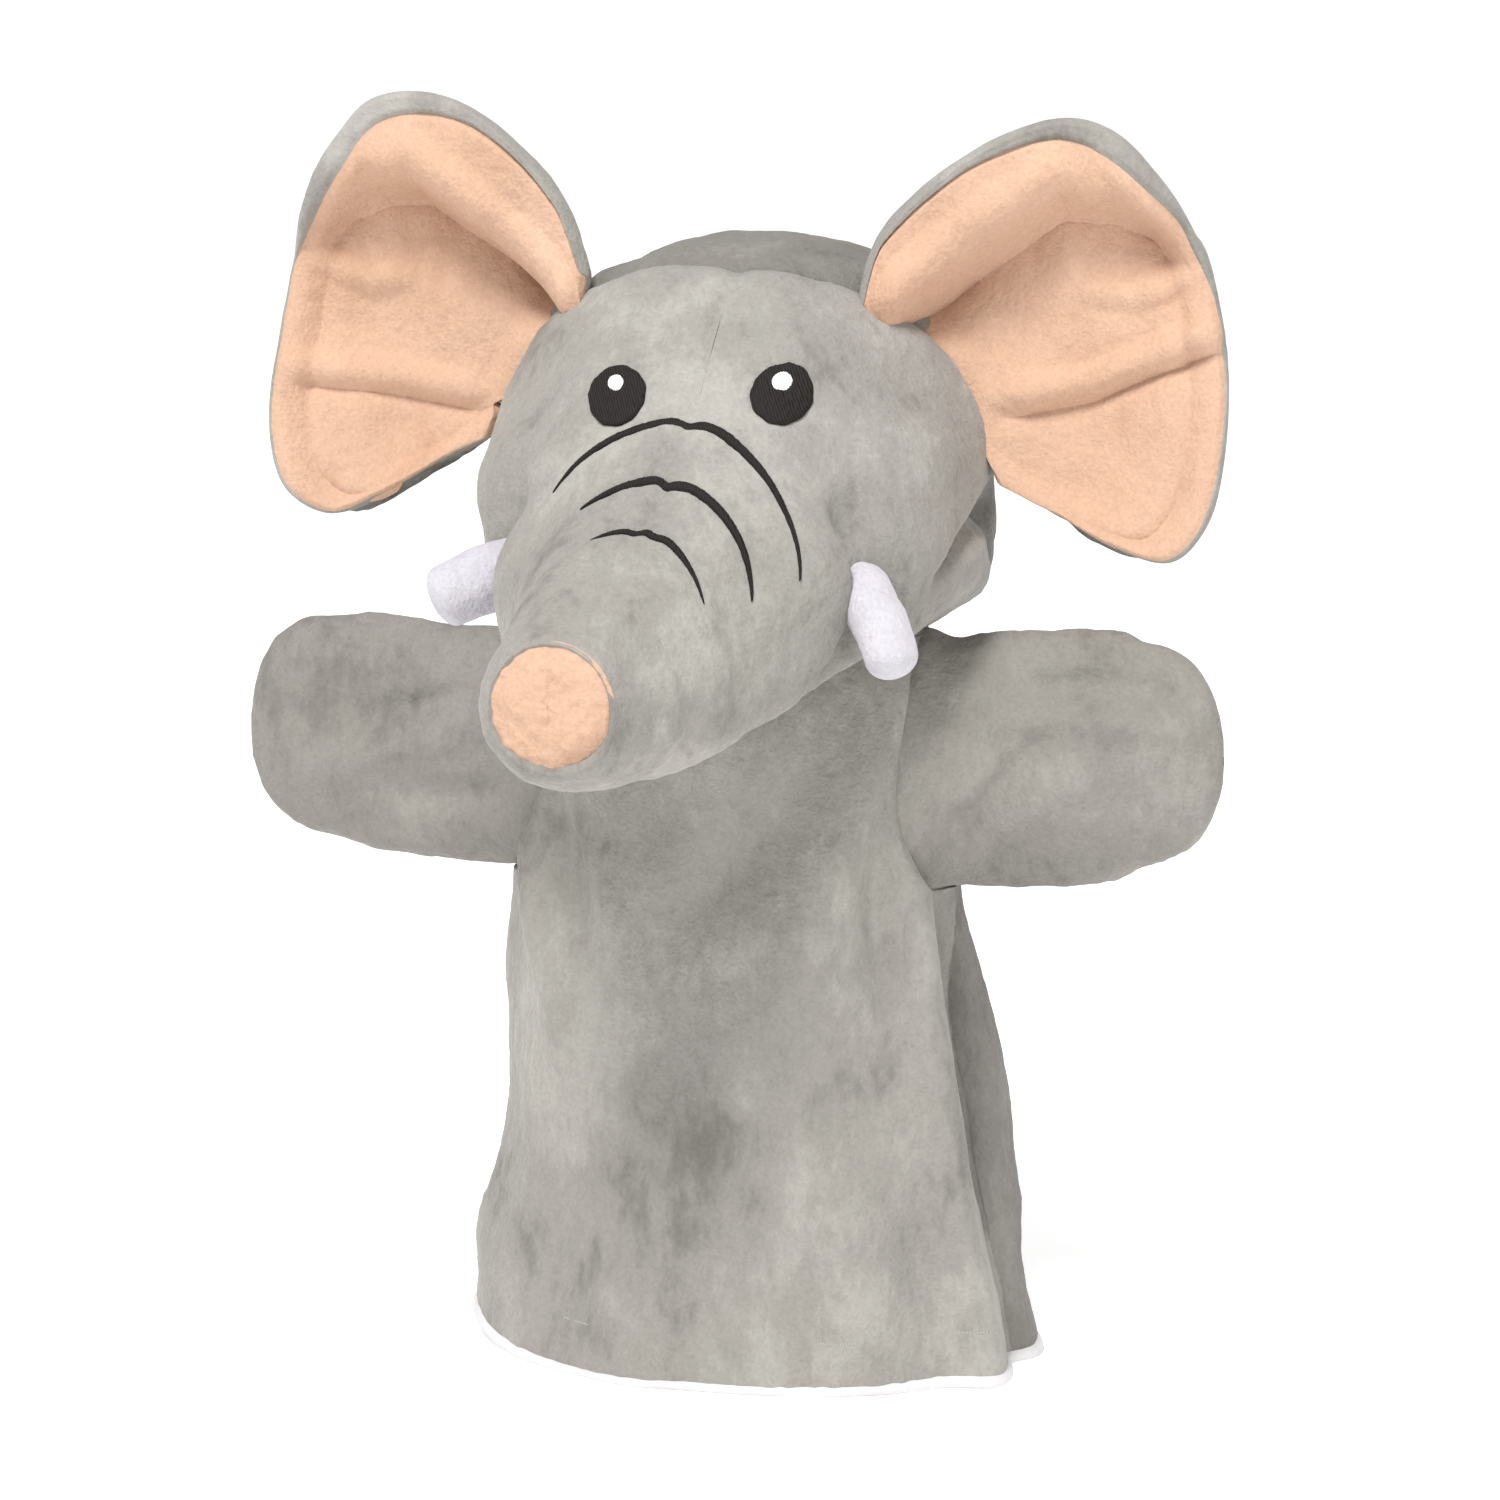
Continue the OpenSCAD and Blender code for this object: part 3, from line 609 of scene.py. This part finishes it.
def ear_surface(S, T, side):
    # the root starts above the rim's first point, or the lowest corner would fold over itself
    root = curve([(51, 2, RIM[side][0][1] + 6), *ROOT_LINE], T)
    rim = curve([(a, b, c) for (a, c), b in zip(RIM[side], RIM_Y)], T)
    G = root + (rim - root) * S[..., None]
    x, z = G[..., 0], G[..., 2]
    d = z - np.interp(x, [p[0] for p in LIP], [p[1] for p in LIP]) - (0 if side > 0 else 1.0)
    inside = step(S, 0.0, 0.16)
    fade = 1 - step(x, 78, 97)
    # hollow under the top lip
    y = 10.5 * step(d, 4.5, -3.5) * np.exp(-np.maximum(0, -d - 5) / 17) * (0.25 + 0.75 * fade) * inside
    y = y + 4.0 * hill(d + 4, 5) * hill(x - 42, 9)  # deepest next to the head
    y = y - 2.6 * hill(d - 7, 4.5) * fade * inside
    ridge = z - np.interp(x, [45, 72, 98], [195, 200, 211] if side > 0 else [193, 197, 199])
    across = step(x, 50, 62) * (1 - step(x, 94, 101)) * (1.0 if side > 0 else 0.7)
    y = y - 2.4 * hill(ridge - 1.5, 2.6) * across + 2.4 * hill(ridge + 3.0, 2.4) * across
    y = y + 5.5 * hill(S - 0.5, 0.30) * hill(T - 0.30, 0.20)  # shallow cup lower down
    second = z - np.interp(x, [60, 80, 95], [222, 219, 224])
    y = y - 1.6 * hill(second, 2.6) * step(x, 66, 76) * (1 - step(x, 90, 97))
    # a shallow groove just inside the rim, so that the rim rolls forward
    y = y + 1.8 * hill(S - 0.86, 0.05) * step(T, 0.1, 0.2) * (1 - step(T, 0.62, 0.75))
    # no relief where the ear is too short for it
    span = np.clip(np.linalg.norm(rim - root, axis=-1) / 26, 0, 1) ** 1.5
    G[..., 1] += y * span
    flat = G * (1, 0.3, 1)
    G[..., 1] += (1.5 * noise(flat, 18, 41 + side) + 0.8 * noise(flat, 9, 43 + side)) * inside * span
    return G


def ear(side, name):
    S, T = grid(110, 300, 0, 1, 0, 1)
    S = S[:, :1] ** 0.85 + 0 * S
    G = ear_surface(S, T, side)
    N = normals(G)
    if N[..., 1].mean() > 0:
        N = -N
    # the grey back wraps over the top edge, so the peach front stops short of the rim there
    stop = 0.985 - 0.070 * step(T, 0.50, 0.66) * (1 - 0.75 * step(T, 0.90, 0.99))
    edge = np.clip(step(S, 0.985, 1.0) + step(T, 0.992, 1.0) + (1 - step(T, 0.0, 0.008)), 0, 1)[..., None]
    half = 2.0 * (1 - 0.75 * edge**2)
    puff = 0.8 * (1 - np.clip((S / 0.96), 0, 1) ** 6)[..., None]
    ditch = 1.0 * hill(S - stop, 0.012)[..., None]
    A = pile(G + N * (half + puff * 0.5 - ditch), N, 0.25)
    B = pile(G - N * (half + puff), -N, 0.28)
    if side < 0:
        G, A, B = (x * (-1, 1, 1) for x in (G, A, B))

    def cut(P, k):
        """Rows of P at the share k (array) of the way from the root to the rim."""
        at = np.clip(k, 0, 1) * (len(P) - 1)
        i = np.minimum(at.astype(int), len(P) - 2)
        f = (at - i)[..., None]
        c = np.arange(P.shape[1])[None] + 0 * i
        return P[i, c] * (1 - f) + P[i + 1, c] * f

    share = (stop[0] ** (1 / 0.85))[None]
    inner = np.linspace(0, 1, 100)[:, None] * share
    wrap = share + (1 - share) * np.linspace(0, 1, 14)[:, None]
    back = np.linspace(1, 0, 100)[:, None] + 0 * share
    P_in, P_mid = cut(A, inner), cut(G, inner)
    Q_out = np.vstack([cut(A, wrap), cut(B, back)])
    Q_mid = np.vstack([cut(G, wrap), cut(G, back)])
    root = (side * 46, 1, 197)
    end = (side * 53, 1, 200.5)
    body = name + "_ear"
    inner_o = skin(body + "_inner", P_in, P_mid, PEACH)
    outer_o = skin(body + "_outer", Q_out, Q_mid, GREY)
    for o, node in ((inner_o, body + "_front"), (outer_o, body + "_back")):
        stand_for(o, node)
        bend(o, "head", body, root, end)


ear(1, "right")
ear(-1, "left")


# ---------------------------------------------------------------- body
# z, centre x, half width, half depth
BODY = [(-4, 3.5, 60.5, 40.5), (10, 3.4, 58.5, 39), (28, 2.8, 54.5, 37.5), (46, 2.0, 51, 36.2),
        (70, 1, 47.8, 34.5), (92, 0.3, 45.8, 33), (108, 0, 45, 32), (122, 0, 45.2, 31),
        (134, 0.5, 45.5, 28.5), (142, 0.8, 44.5, 25.5), (149, 0.8, 40, 22), (154, 0, 31, 19.5),
        (158, 0, 26, 18)]


def ang(u):
    return (np.asarray(u) + 180) % 360 - 180


def body_surface(u, z):
    """u is degrees from the front, 90 is +X; z is the height."""
    s = by_first(BODY, z)
    cx, w, d = s[..., 1], s[..., 2], s[..., 3]
    x = cx + w * spow(np.sin(u * RAD), 0.95)
    y = -d * spow(np.cos(u * RAD), 0.95)
    n = np.stack([np.sin(u * RAD) / w, -np.cos(u * RAD) / d, 0 * w], -1)
    n /= np.linalg.norm(n, axis=-1, keepdims=True)
    k = np.zeros_like(z)
    low = 1 - step(z, 84, 112)
    k = k + 3.4 * hill(ang(u + 66) + (z - 112) * 0.55, 8) * hill(z - 92, 26)  # fold from the left armpit
    k = k - 3.0 * hill(ang(u + 48) + (z - 112) * 0.55, 8) * hill(z - 92, 24)
    k = k + 4.2 * hill(ang(u - 61), 7.5) * low  # front panel's right edge stands up
    k = k - 3.4 * hill(ang(u - 80), 6.5) * low
    k = k + 4.2 * hill(ang(u - 104), 16) * hill(z - 60, 36)
    k = k + 1.9 * hill(ang(u + 88), 15) * hill(z - 82, 22) + 2.6 * hill(ang(u + 86), 16) * hill(z - 18, 15)
    k = k - 3.8 * hill(ang(u - 6) - (z - 100) * 0.8, 12) * hill(z - 106, 17)  # hollow below the trunk
    k = k + 3.2 * hill(ang(u - 34) - (z - 100) * 0.45, 9) * hill(z - 98, 24)
    k = k - 3.4 * hill(ang(u - 50), 8) * hill(z - 92, 22)
    k = k + 2.8 * hill(ang(u + 22) + (z - 70) * 0.3, 12) * hill(z - 70, 24)
    k = k - 2.6 * hill(ang(u + 2) + (z - 50) * 0.35, 10) * hill(z - 50, 24)
    k = k + 2.6 * hill(ang(u - 26) + (z - 40) * 0.3, 12) * hill(z - 34, 24)
    k = k - 2.2 * hill(ang(u + 40) - (z - 30) * 0.25, 10) * hill(z - 30, 24)
    k = k - 1.8 * hill(ang(u - 45), 8) * hill(z - 14, 18) + 1.6 * hill(ang(u + 16), 9) * hill(z - 6, 16)
    k = k + 1.6 * hill(ang(u + 92), 26) * hill(z - 66, 42)
    k = k + 2.0 * hill(ang(u - 180), 26) * hill(z - 60, 40) - 1.8 * hill(ang(u - 150), 14) * hill(z - 50, 34)
    k = 1.25 * k
    G = np.stack([x, y, z], -1)
    k = k + (1.9 * noise(G * (1, 1, 0.6), 20, 51) + 0.8 * noise(G * (1, 1, 0.8), 10, 52)) * step(z, -6, 14)
    return G + n * k[..., None], n


HOLE_Z = 121.8  # middle of the armhole
HOLE_H = 26.0  # half its height


def armhole(z):
    """How many degrees the panel's side edges are cut back at the height z."""
    t = np.clip(np.abs(z - HOLE_Z) / HOLE_H, 0, 1)
    return 31 * (1 - t**2.2) ** (1 / 2.2)


def body_panel(name, side, z0, z1, off, t, material, node, m=150, n=240, fuzz=True, low=None):
    crowd = 6 * np.linspace(0.03, 1, 30) ** 2.2
    Z = np.concatenate([np.linspace(z0, z1, m), HOLE_Z - HOLE_H + crowd, HOLE_Z + HOLE_H - crowd])
    Z = np.sort(Z[(Z >= z0) & (Z <= z1)])  # rows crowd where the armhole opens and closes
    K = np.linspace(-1, 1, n)
    Zg, Kg = np.meshgrid(Z, K, indexing="ij")
    r = 90 - armhole(Zg)
    U = side + Kg * r
    seam = -7.0 * hill(ang(U - 90), 24) * (1 - step(Zg, 70, 95))  # the seam comes forward at the right
    U = U + seam
    G, n_ = body_surface(U, Zg)
    if low is not None:
        G[..., 2] = G[..., 2] + low(U) * (1 - step(Zg, z0, z0 + 40))
    N = n_  # the mesh is sheared beside the armholes, so its own normals would crease it
    edge = hill((1 - np.abs(Kg)) * r * 0.72, 2.6) * step(r, 89.5, 80)
    A = G - N * (off + 2.4 * edge)[..., None]
    o = skin(name, pile(A, N) if fuzz else A, A - N * t, material)
    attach(stand_for(o, node), "torso")
    return o


def hem_rise(u):
    """The hem isn't quite level: it lifts at the left and waves a little."""
    lifts = 0.35 + 1.2 * hill(ang(u - 58), 20) + 4.4 * hill(ang(u + 80), 26)
    return lifts + 0.4 * np.sin(3 * np.asarray(u) * RAD + 0.8) - 0.2 * hill(ang(u), 40)


# the back panel gets the darker copy of the grey plush: painted shade
for nm, side, mat, slot in (("front", 0, GREY, "plush_grey"), ("back", 180, GREY_SHADED, "plush_dark")):
    o = body_panel(nm + "_panel", side, -4, 149, 0, 2.0, mat, nm + "_body_panel", low=hem_rise)
    o = body_panel(nm + "_lining_cloth", side, 0, 136, 2.15, 0.6, LINING, nm + "_lining",
                   m=80, n=120, fuzz=False, low=hem_rise)

# the white facing rolls out a little under the hem
T, U = grid(26, 361, 0, 1, 0, 360)
sec = curve([(3.6, 13), (3.3, 4), (2.6, 0.4), (1.2, -0.5), (0.0, 0.2), (0.4, 1.8), (2.4, 2.6),
             (2.9, 5), (3.1, 13)], T)
G, n_ = body_surface(U, sec[..., 1] - RISE + 0 * U)
peek = 0.1 + 2.4 * hill(ang(U - 84), 18) + 0.7 * hill(ang(U + 64), 30)
G = G - n_ * (sec[..., 0] - 0.6 * peek)[..., None]
G[..., 2] = sec[..., 1] + (hem_rise(U) - 1.1) * (1 - step(sec[..., 1], 3, 30)) + 0.5
G[..., 2] = np.maximum(G[..., 2], 0.0) - RISE
o = skin("hem_facing_cloth", G, G + n_ * 0.35, LINING, ring=True)
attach(stand_for(o, "hem_facing"), "torso")
# a line of stitches above the hem
STITCH_Z = 6.5
T, Q = grid(361, 9, 0, 360, 0, 360)
level = np.full_like(T, STITCH_Z)
C, n_ = body_surface(T, level)
C[..., 2] += hem_rise(T) * (1 - step(level, -4, 36))
G = C + n_ * (-0.35 + 0.20 * np.cos(Q * RAD))[..., None]
G[..., 2] += 0.22 * np.sin(Q * RAD)
o = solid("hem_stitches", G, SEAM)
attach(stand_for(o, "hem_stitching"), "torso")
for s, nm in ((-90, "left"), (90, "right")):
    Z, K = grid(60, 13, 22, 91, -1, 1)
    G, n_ = body_surface(s + K * 1.2, Z)
    A = G - n_ * 2.9
    B = G - n_ * (5.4 + 0.5 * noise(G, 6, 61))[..., None]
    o = skin(nm + "_seam_allowance", A, B, GREY_SHADED)
    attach(stand_for(o, nm + "_side_seam"), "torso")

# neck
Z, U = grid(60, 241, 0, 1, 0, 360)
s = curve([(148, 38.5, 21.4), (151, 35, 20.0), (155, 29, 18.5), (159, 25.5, 17.5), (166, 23, 17)], Z)
G = np.stack([s[..., 1] * np.sin(U * RAD), -s[..., 2] * np.cos(U * RAD), s[..., 0]], -1)
G = G * (1 + 0.03 * np.sin(7 * U * RAD)[..., None] * (Z[..., None]) * np.array([1, 1, 0]))
# the neck gets the darker copy of the grey plush: painted shade
o = plush("neck_skin", G, GREY_SHADED, ring=True, out=1)
stand_for(o, "neck_cloth")
bend(o, "torso", "neck", (0, 0, 148), (0, 0, 162))
Z, U = grid(24, 97, 0, 1, 0, 360)
TUBE_R = 15.4
G = np.stack([TUBE_R * np.sin(U * RAD), -TUBE_R * np.cos(U * RAD), 128 + 16 * Z], -1)
o = skin("neck_lining_tube", G, G * (0.95, 0.95, 1), LINING, ring=True)
stand_for(o, "neck_lining")
bend(o, "torso", "neck", (0, 0, 130), (0, 0, 142))
# finger pocket in the head
Z, U = grid(50, 97, 0, 1, 0, 360)
h = np.array([(12.4, 146), (12.4, 165), (12.4, 185), (12.2, 194), (9.5, 197), (0.05, 197.4)])
s = curve(h, Z)
G = np.stack([s[..., 0] * np.sin(U * RAD), -s[..., 0] * np.cos(U * RAD), s[..., 1]], -1)
inside = G * (0.93, 0.93, 1) - (0, 0, 0.6) * (Z[..., None] > 0.7)
o = skin("finger_pocket_cloth", G, inside, LINING, ring=True)
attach(stand_for(o, "finger_pocket"), "head")

# stuffing, seen only when the part is opened
U_, A_ = np.meshgrid(np.linspace(u_of_y(45), u_of_y(-46), 60), np.linspace(0, 360, 121), indexing="ij")
G = head_surface(U_, A_)
HEAD_MIDDLE, FILL = np.array([0, 0, 180.0]), 0.90  # the fibre takes up this share of the head
G = (G - HEAD_MIDDLE) * FILL + HEAD_MIDDLE
o = solid("head_fibre", G, FIBRE)
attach(stand_for(o, "head_stuffing"), "head")
for nm, y0, y1, body, node in (("trunk_root_fibre", -49, -71, "trunk_root", "trunk_root_core"),
                               ("trunk_tip_fibre", -74, -89, "trunk_tip", "trunk_tip_stuffing")):
    U_, A_ = np.meshgrid(np.linspace(u_of_y(y0), u_of_y(y1), 24), np.linspace(0, 360, 97), indexing="ij")
    G = head_surface(U_, A_)
    c = G.mean(1, keepdims=True)
    o = solid(nm, c + (G - c) * (0.5 if "root" in nm else 0.78), FIBRE)
    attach(stand_for(o, node), body)


# ---------------------------------------------------------------- arms
# outward from the shoulder pivot, half height, half depth, middle height
# for each side: x from the armhole, half height, half depth, centre z
ARM = {1: [(-9, 28.6, 17.5, 121.2), (-4, 27.6, 16.3, 121.6), (2, 26.4, 14, 122.2), (8, 26.8, 12, 122.8),
           (18, 27, 10.8, 123.5), (30, 26.5, 9.8, 124.5), (42, 24.0, 8.4, 125.5), (49.5, 20, 6.6, 125.8),
           (54.2, 14.5, 4.8, 125.5), (56.8, 7.5, 3.0, 125), (57.6, 1.0, 0.8, 125)],
       -1: [(-9, 28.4, 17.5, 121.2), (-4, 27.4, 16.3, 121.1), (2, 25.4, 14, 121), (8, 25.6, 12, 121),
            (18, 25.6, 10.8, 121.3), (30, 25.6, 9.8, 122.5), (44, 24.5, 8.4, 123.5), (54, 21.5, 6.6, 123.8),
            (60, 15.5, 4.8, 123.5), (62.9, 8, 3.0, 123), (63.7, 1.0, 0.8, 123)]}


def arm_surface(u, a, side):
    """a = 0 is the top seam, 90 the front, 180 the bottom seam."""
    s = curve(ARM[side], u)
    x, h, d, zc = (s[..., k] for k in range(4))
    ca, sa = np.cos(a * RAD), np.sin(a * RAD)
    G = np.stack([44 + x, -d * spow(sa, 1.15), zc + h * spow(ca, 0.86)], -1)
    zz = G[..., 2] - zc
    f = np.zeros_like(x)
    if side > 0:
        fold = hill(zz - 14 + (x - 35) * 0.12 + 1.2 * np.sin(x / 7), 4.2)
        f = f - 2.6 * fold * step(x, 10, 24) * (1 - step(x, 46, 56))
        f = f + 2.2 * hill(zz - 9 + (x - 35) * 0.10, 4.0) * step(x, 8, 22) * (1 - step(x, 46, 56))
        f = f - 2.0 * hill(zz + 4 - (x - 12) * 0.9, 4.0) * hill(x - 12, 12)
        f = f + 1.6 * hill(zz + 14 - (x - 12) * 0.6, 5.0) * hill(x - 20, 14)
    else:
        f = f - 2.4 * hill(zz - 10 + (x - 20) * 0.35, 3.4) * hill(x - 22, 14)
        f = f + 1.8 * hill(zz - 2 + (x - 20) * 0.35, 4.5) * hill(x - 24, 16)
        f = f - 2.0 * hill(zz + 10 + (x - 20) * 0.2, 3.8) * hill(x - 16, 13)
        f = f + 1.4 * hill(zz - 18, 3.0) * hill(x - 38, 12)
    front = step(sa, 0.05, 0.5)
    back = step(-sa, 0.05, 0.5)
    G[..., 1] += -f * front + 0.6 * f * back
    flat = G * (1, 0.2, 1)
    swell = 0.9 * noise(flat, 12, 71 + side) + 0.45 * noise(flat, 6, 73 + side)
    G[..., 1] += swell * (front - back * 0.8) * (1 - step(x, 52, 58))
    pinch = 0.7 * noise(np.stack([x, 0 * x, 0 * x + side], -1), 5, 75)
    G[..., 2] += pinch * spow(ca, 5)
    return G


def arm_piece(name, side, x0, x1, m, a0, a1, n, material, t=2.0, ring=False, inset=0.0, fuzz=True):
    P = curve(ARM[side], np.linspace(0, 1, 800))
    us = np.interp(np.linspace(x0, min(x1, P[-1, 0]), m), P[:, 0], np.linspace(0, 1, 800))
    us = us + (np.interp(x1, P[:, 0], np.linspace(0, 1, 800)) - us[-1]) * np.linspace(0, 1, m) ** 8
    U_, A_ = np.meshgrid(us, np.linspace(a0, a1, n), indexing="ij")
    G = arm_surface(U_, A_, side)
    N = wrap_normals(G) if ring else normals(G)
    c = np.stack([G[..., 0] * 0 + 60, G[..., 1] * 0, G[..., 2] * 0 + 121], -1)
    if ((G - c) * N).sum() < 0:
        N = -N
    A = G - N * inset
    A = pile(A, N, 0.26) if fuzz else A
    B = G - N * (inset + t)
    if side < 0:
        A, B = A * (-1, 1, 1), B * (-1, 1, 1)
    return skin(name, A, B, material, ring)


for side, nm in ((1, "right"), (-1, "left")):
    arm, shoulder = nm + "_arm", nm + "_shoulder"
    o = arm_piece(nm + "_armhole_cloth", side, -9, 6, 44, 0, 360, 241, GREY_ARM, ring=True)
    stand_for(o, shoulder + "_cloth")
    bend(o, "torso", shoulder, (side * 40, 0, 121), (side * 50, 0, 121))
    for half, a0, a1 in (("front", 0, 180), ("back", 180, 360)):
        o = arm_piece(f"{nm}_mitt_{half}", side, 6, 70, 120, a0, a1, 130, GREY_ARM)
        stand_for(o, f"{arm}_{half}")
        bend(o, shoulder, arm, (side * 50, 0, 121), (side * 62, 0, 121))
    o = arm_piece(f"{nm}_finger_sleeve", side, 17, 70, 60, 0, 360, 97, LINING,
                  t=0.6, ring=True, inset=2.1, fuzz=False)
    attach(stand_for(o, arm + "_lining"), arm)


# ---------------------------------------------------------------- floor, light, camera
def plain(name, colour, emit=0.0):
    m, nt, b = new_material(name)
    n = put(nt, "ShaderNodeTexNoise", Scale=3.0)
    r = nt.nodes.new("ShaderNodeValToRGB")
    r.color_ramp.elements[0].color = (*[c * 0.99 for c in colour], 1)
    r.color_ramp.elements[1].color = (*colour, 1)
    nt.links.new(n.outputs["Fac"], r.inputs["Fac"])
    nt.links.new(r.outputs["Color"], b.inputs["Base Color"])
    b.inputs["Roughness"].default_value = 0.9
    if emit:
        b.inputs["Emission Color"].default_value = (1, 1, 1, 1)
        b.inputs["Emission Strength"].default_value = emit
    return m


bpy.ops.mesh.primitive_plane_add(size=60, location=(0, 0, -0.0002))
floor = bpy.context.object
floor.name = "floor"
floor.data.materials.append(plain("floor_white", (0.93, 0.93, 0.93), 0.45))

scene = bpy.context.scene
scene.view_settings.view_transform = "Standard"
scene.view_settings.look = "None"
world = bpy.data.worlds.new("world")
scene.world = world
world.use_nodes = True
world.node_tree.nodes["Background"].inputs["Color"].default_value = (1, 1, 1, 1)
# the sky is white near the horizon, like the floor, and dimmer overhead, so that the key light
# models the folds
sky = world.node_tree
direction = sky.nodes.new("ShaderNodeTexCoord")
height = sky.nodes.new("ShaderNodeSeparateXYZ")
sky.links.new(direction.outputs["Generated"], height.inputs["Vector"])
fall = put(sky, "ShaderNodeMapRange", **{"From Min": 0.22, "From Max": 0.40, "To Min": 1.0, "To Max": 0.58})
sky.links.new(height.outputs["Z"], fall.inputs["Value"])
sky.links.new(fall.outputs["Result"], sky.nodes["Background"].inputs["Strength"])


def area_light(name, where, at, size, power):
    d = bpy.data.lights.new(name, "AREA")
    d.shape = "DISK"
    d.size = size
    d.energy = power
    o = bpy.data.objects.new(name, d)
    bpy.context.collection.objects.link(o)
    o.location = where
    o.rotation_euler = (Vector(at) - Vector(where)).to_track_quat("-Z", "Y").to_euler()
    return o


area_light("key", (-0.12, -0.8, 1.5), (0, 0, 0.15), 0.5, 29)
area_light("fill", (1.2, -0.8, 0.5), (0, 0, 0.12), 0.9, 2.5)

cam_data = bpy.data.cameras.new("camera")
cam = bpy.data.objects.new("camera", cam_data)
bpy.context.collection.objects.link(cam)
scene.camera = cam
AZ, EL, DIST = 14 * RAD, 11 * RAD, 1.0
target = np.array([0.0, AXIS_Y / 1000, 0.1265])
way = np.array([math.sin(AZ) * math.cos(EL), -math.cos(AZ) * math.cos(EL), math.sin(EL)])
cam.location = target + way * DIST
cam.rotation_euler = Vector(-way).to_track_quat("-Z", "Y").to_euler()
cam_data.lens = 115
cam_data.shift_x = 0.0067
cam_data.clip_end = 20
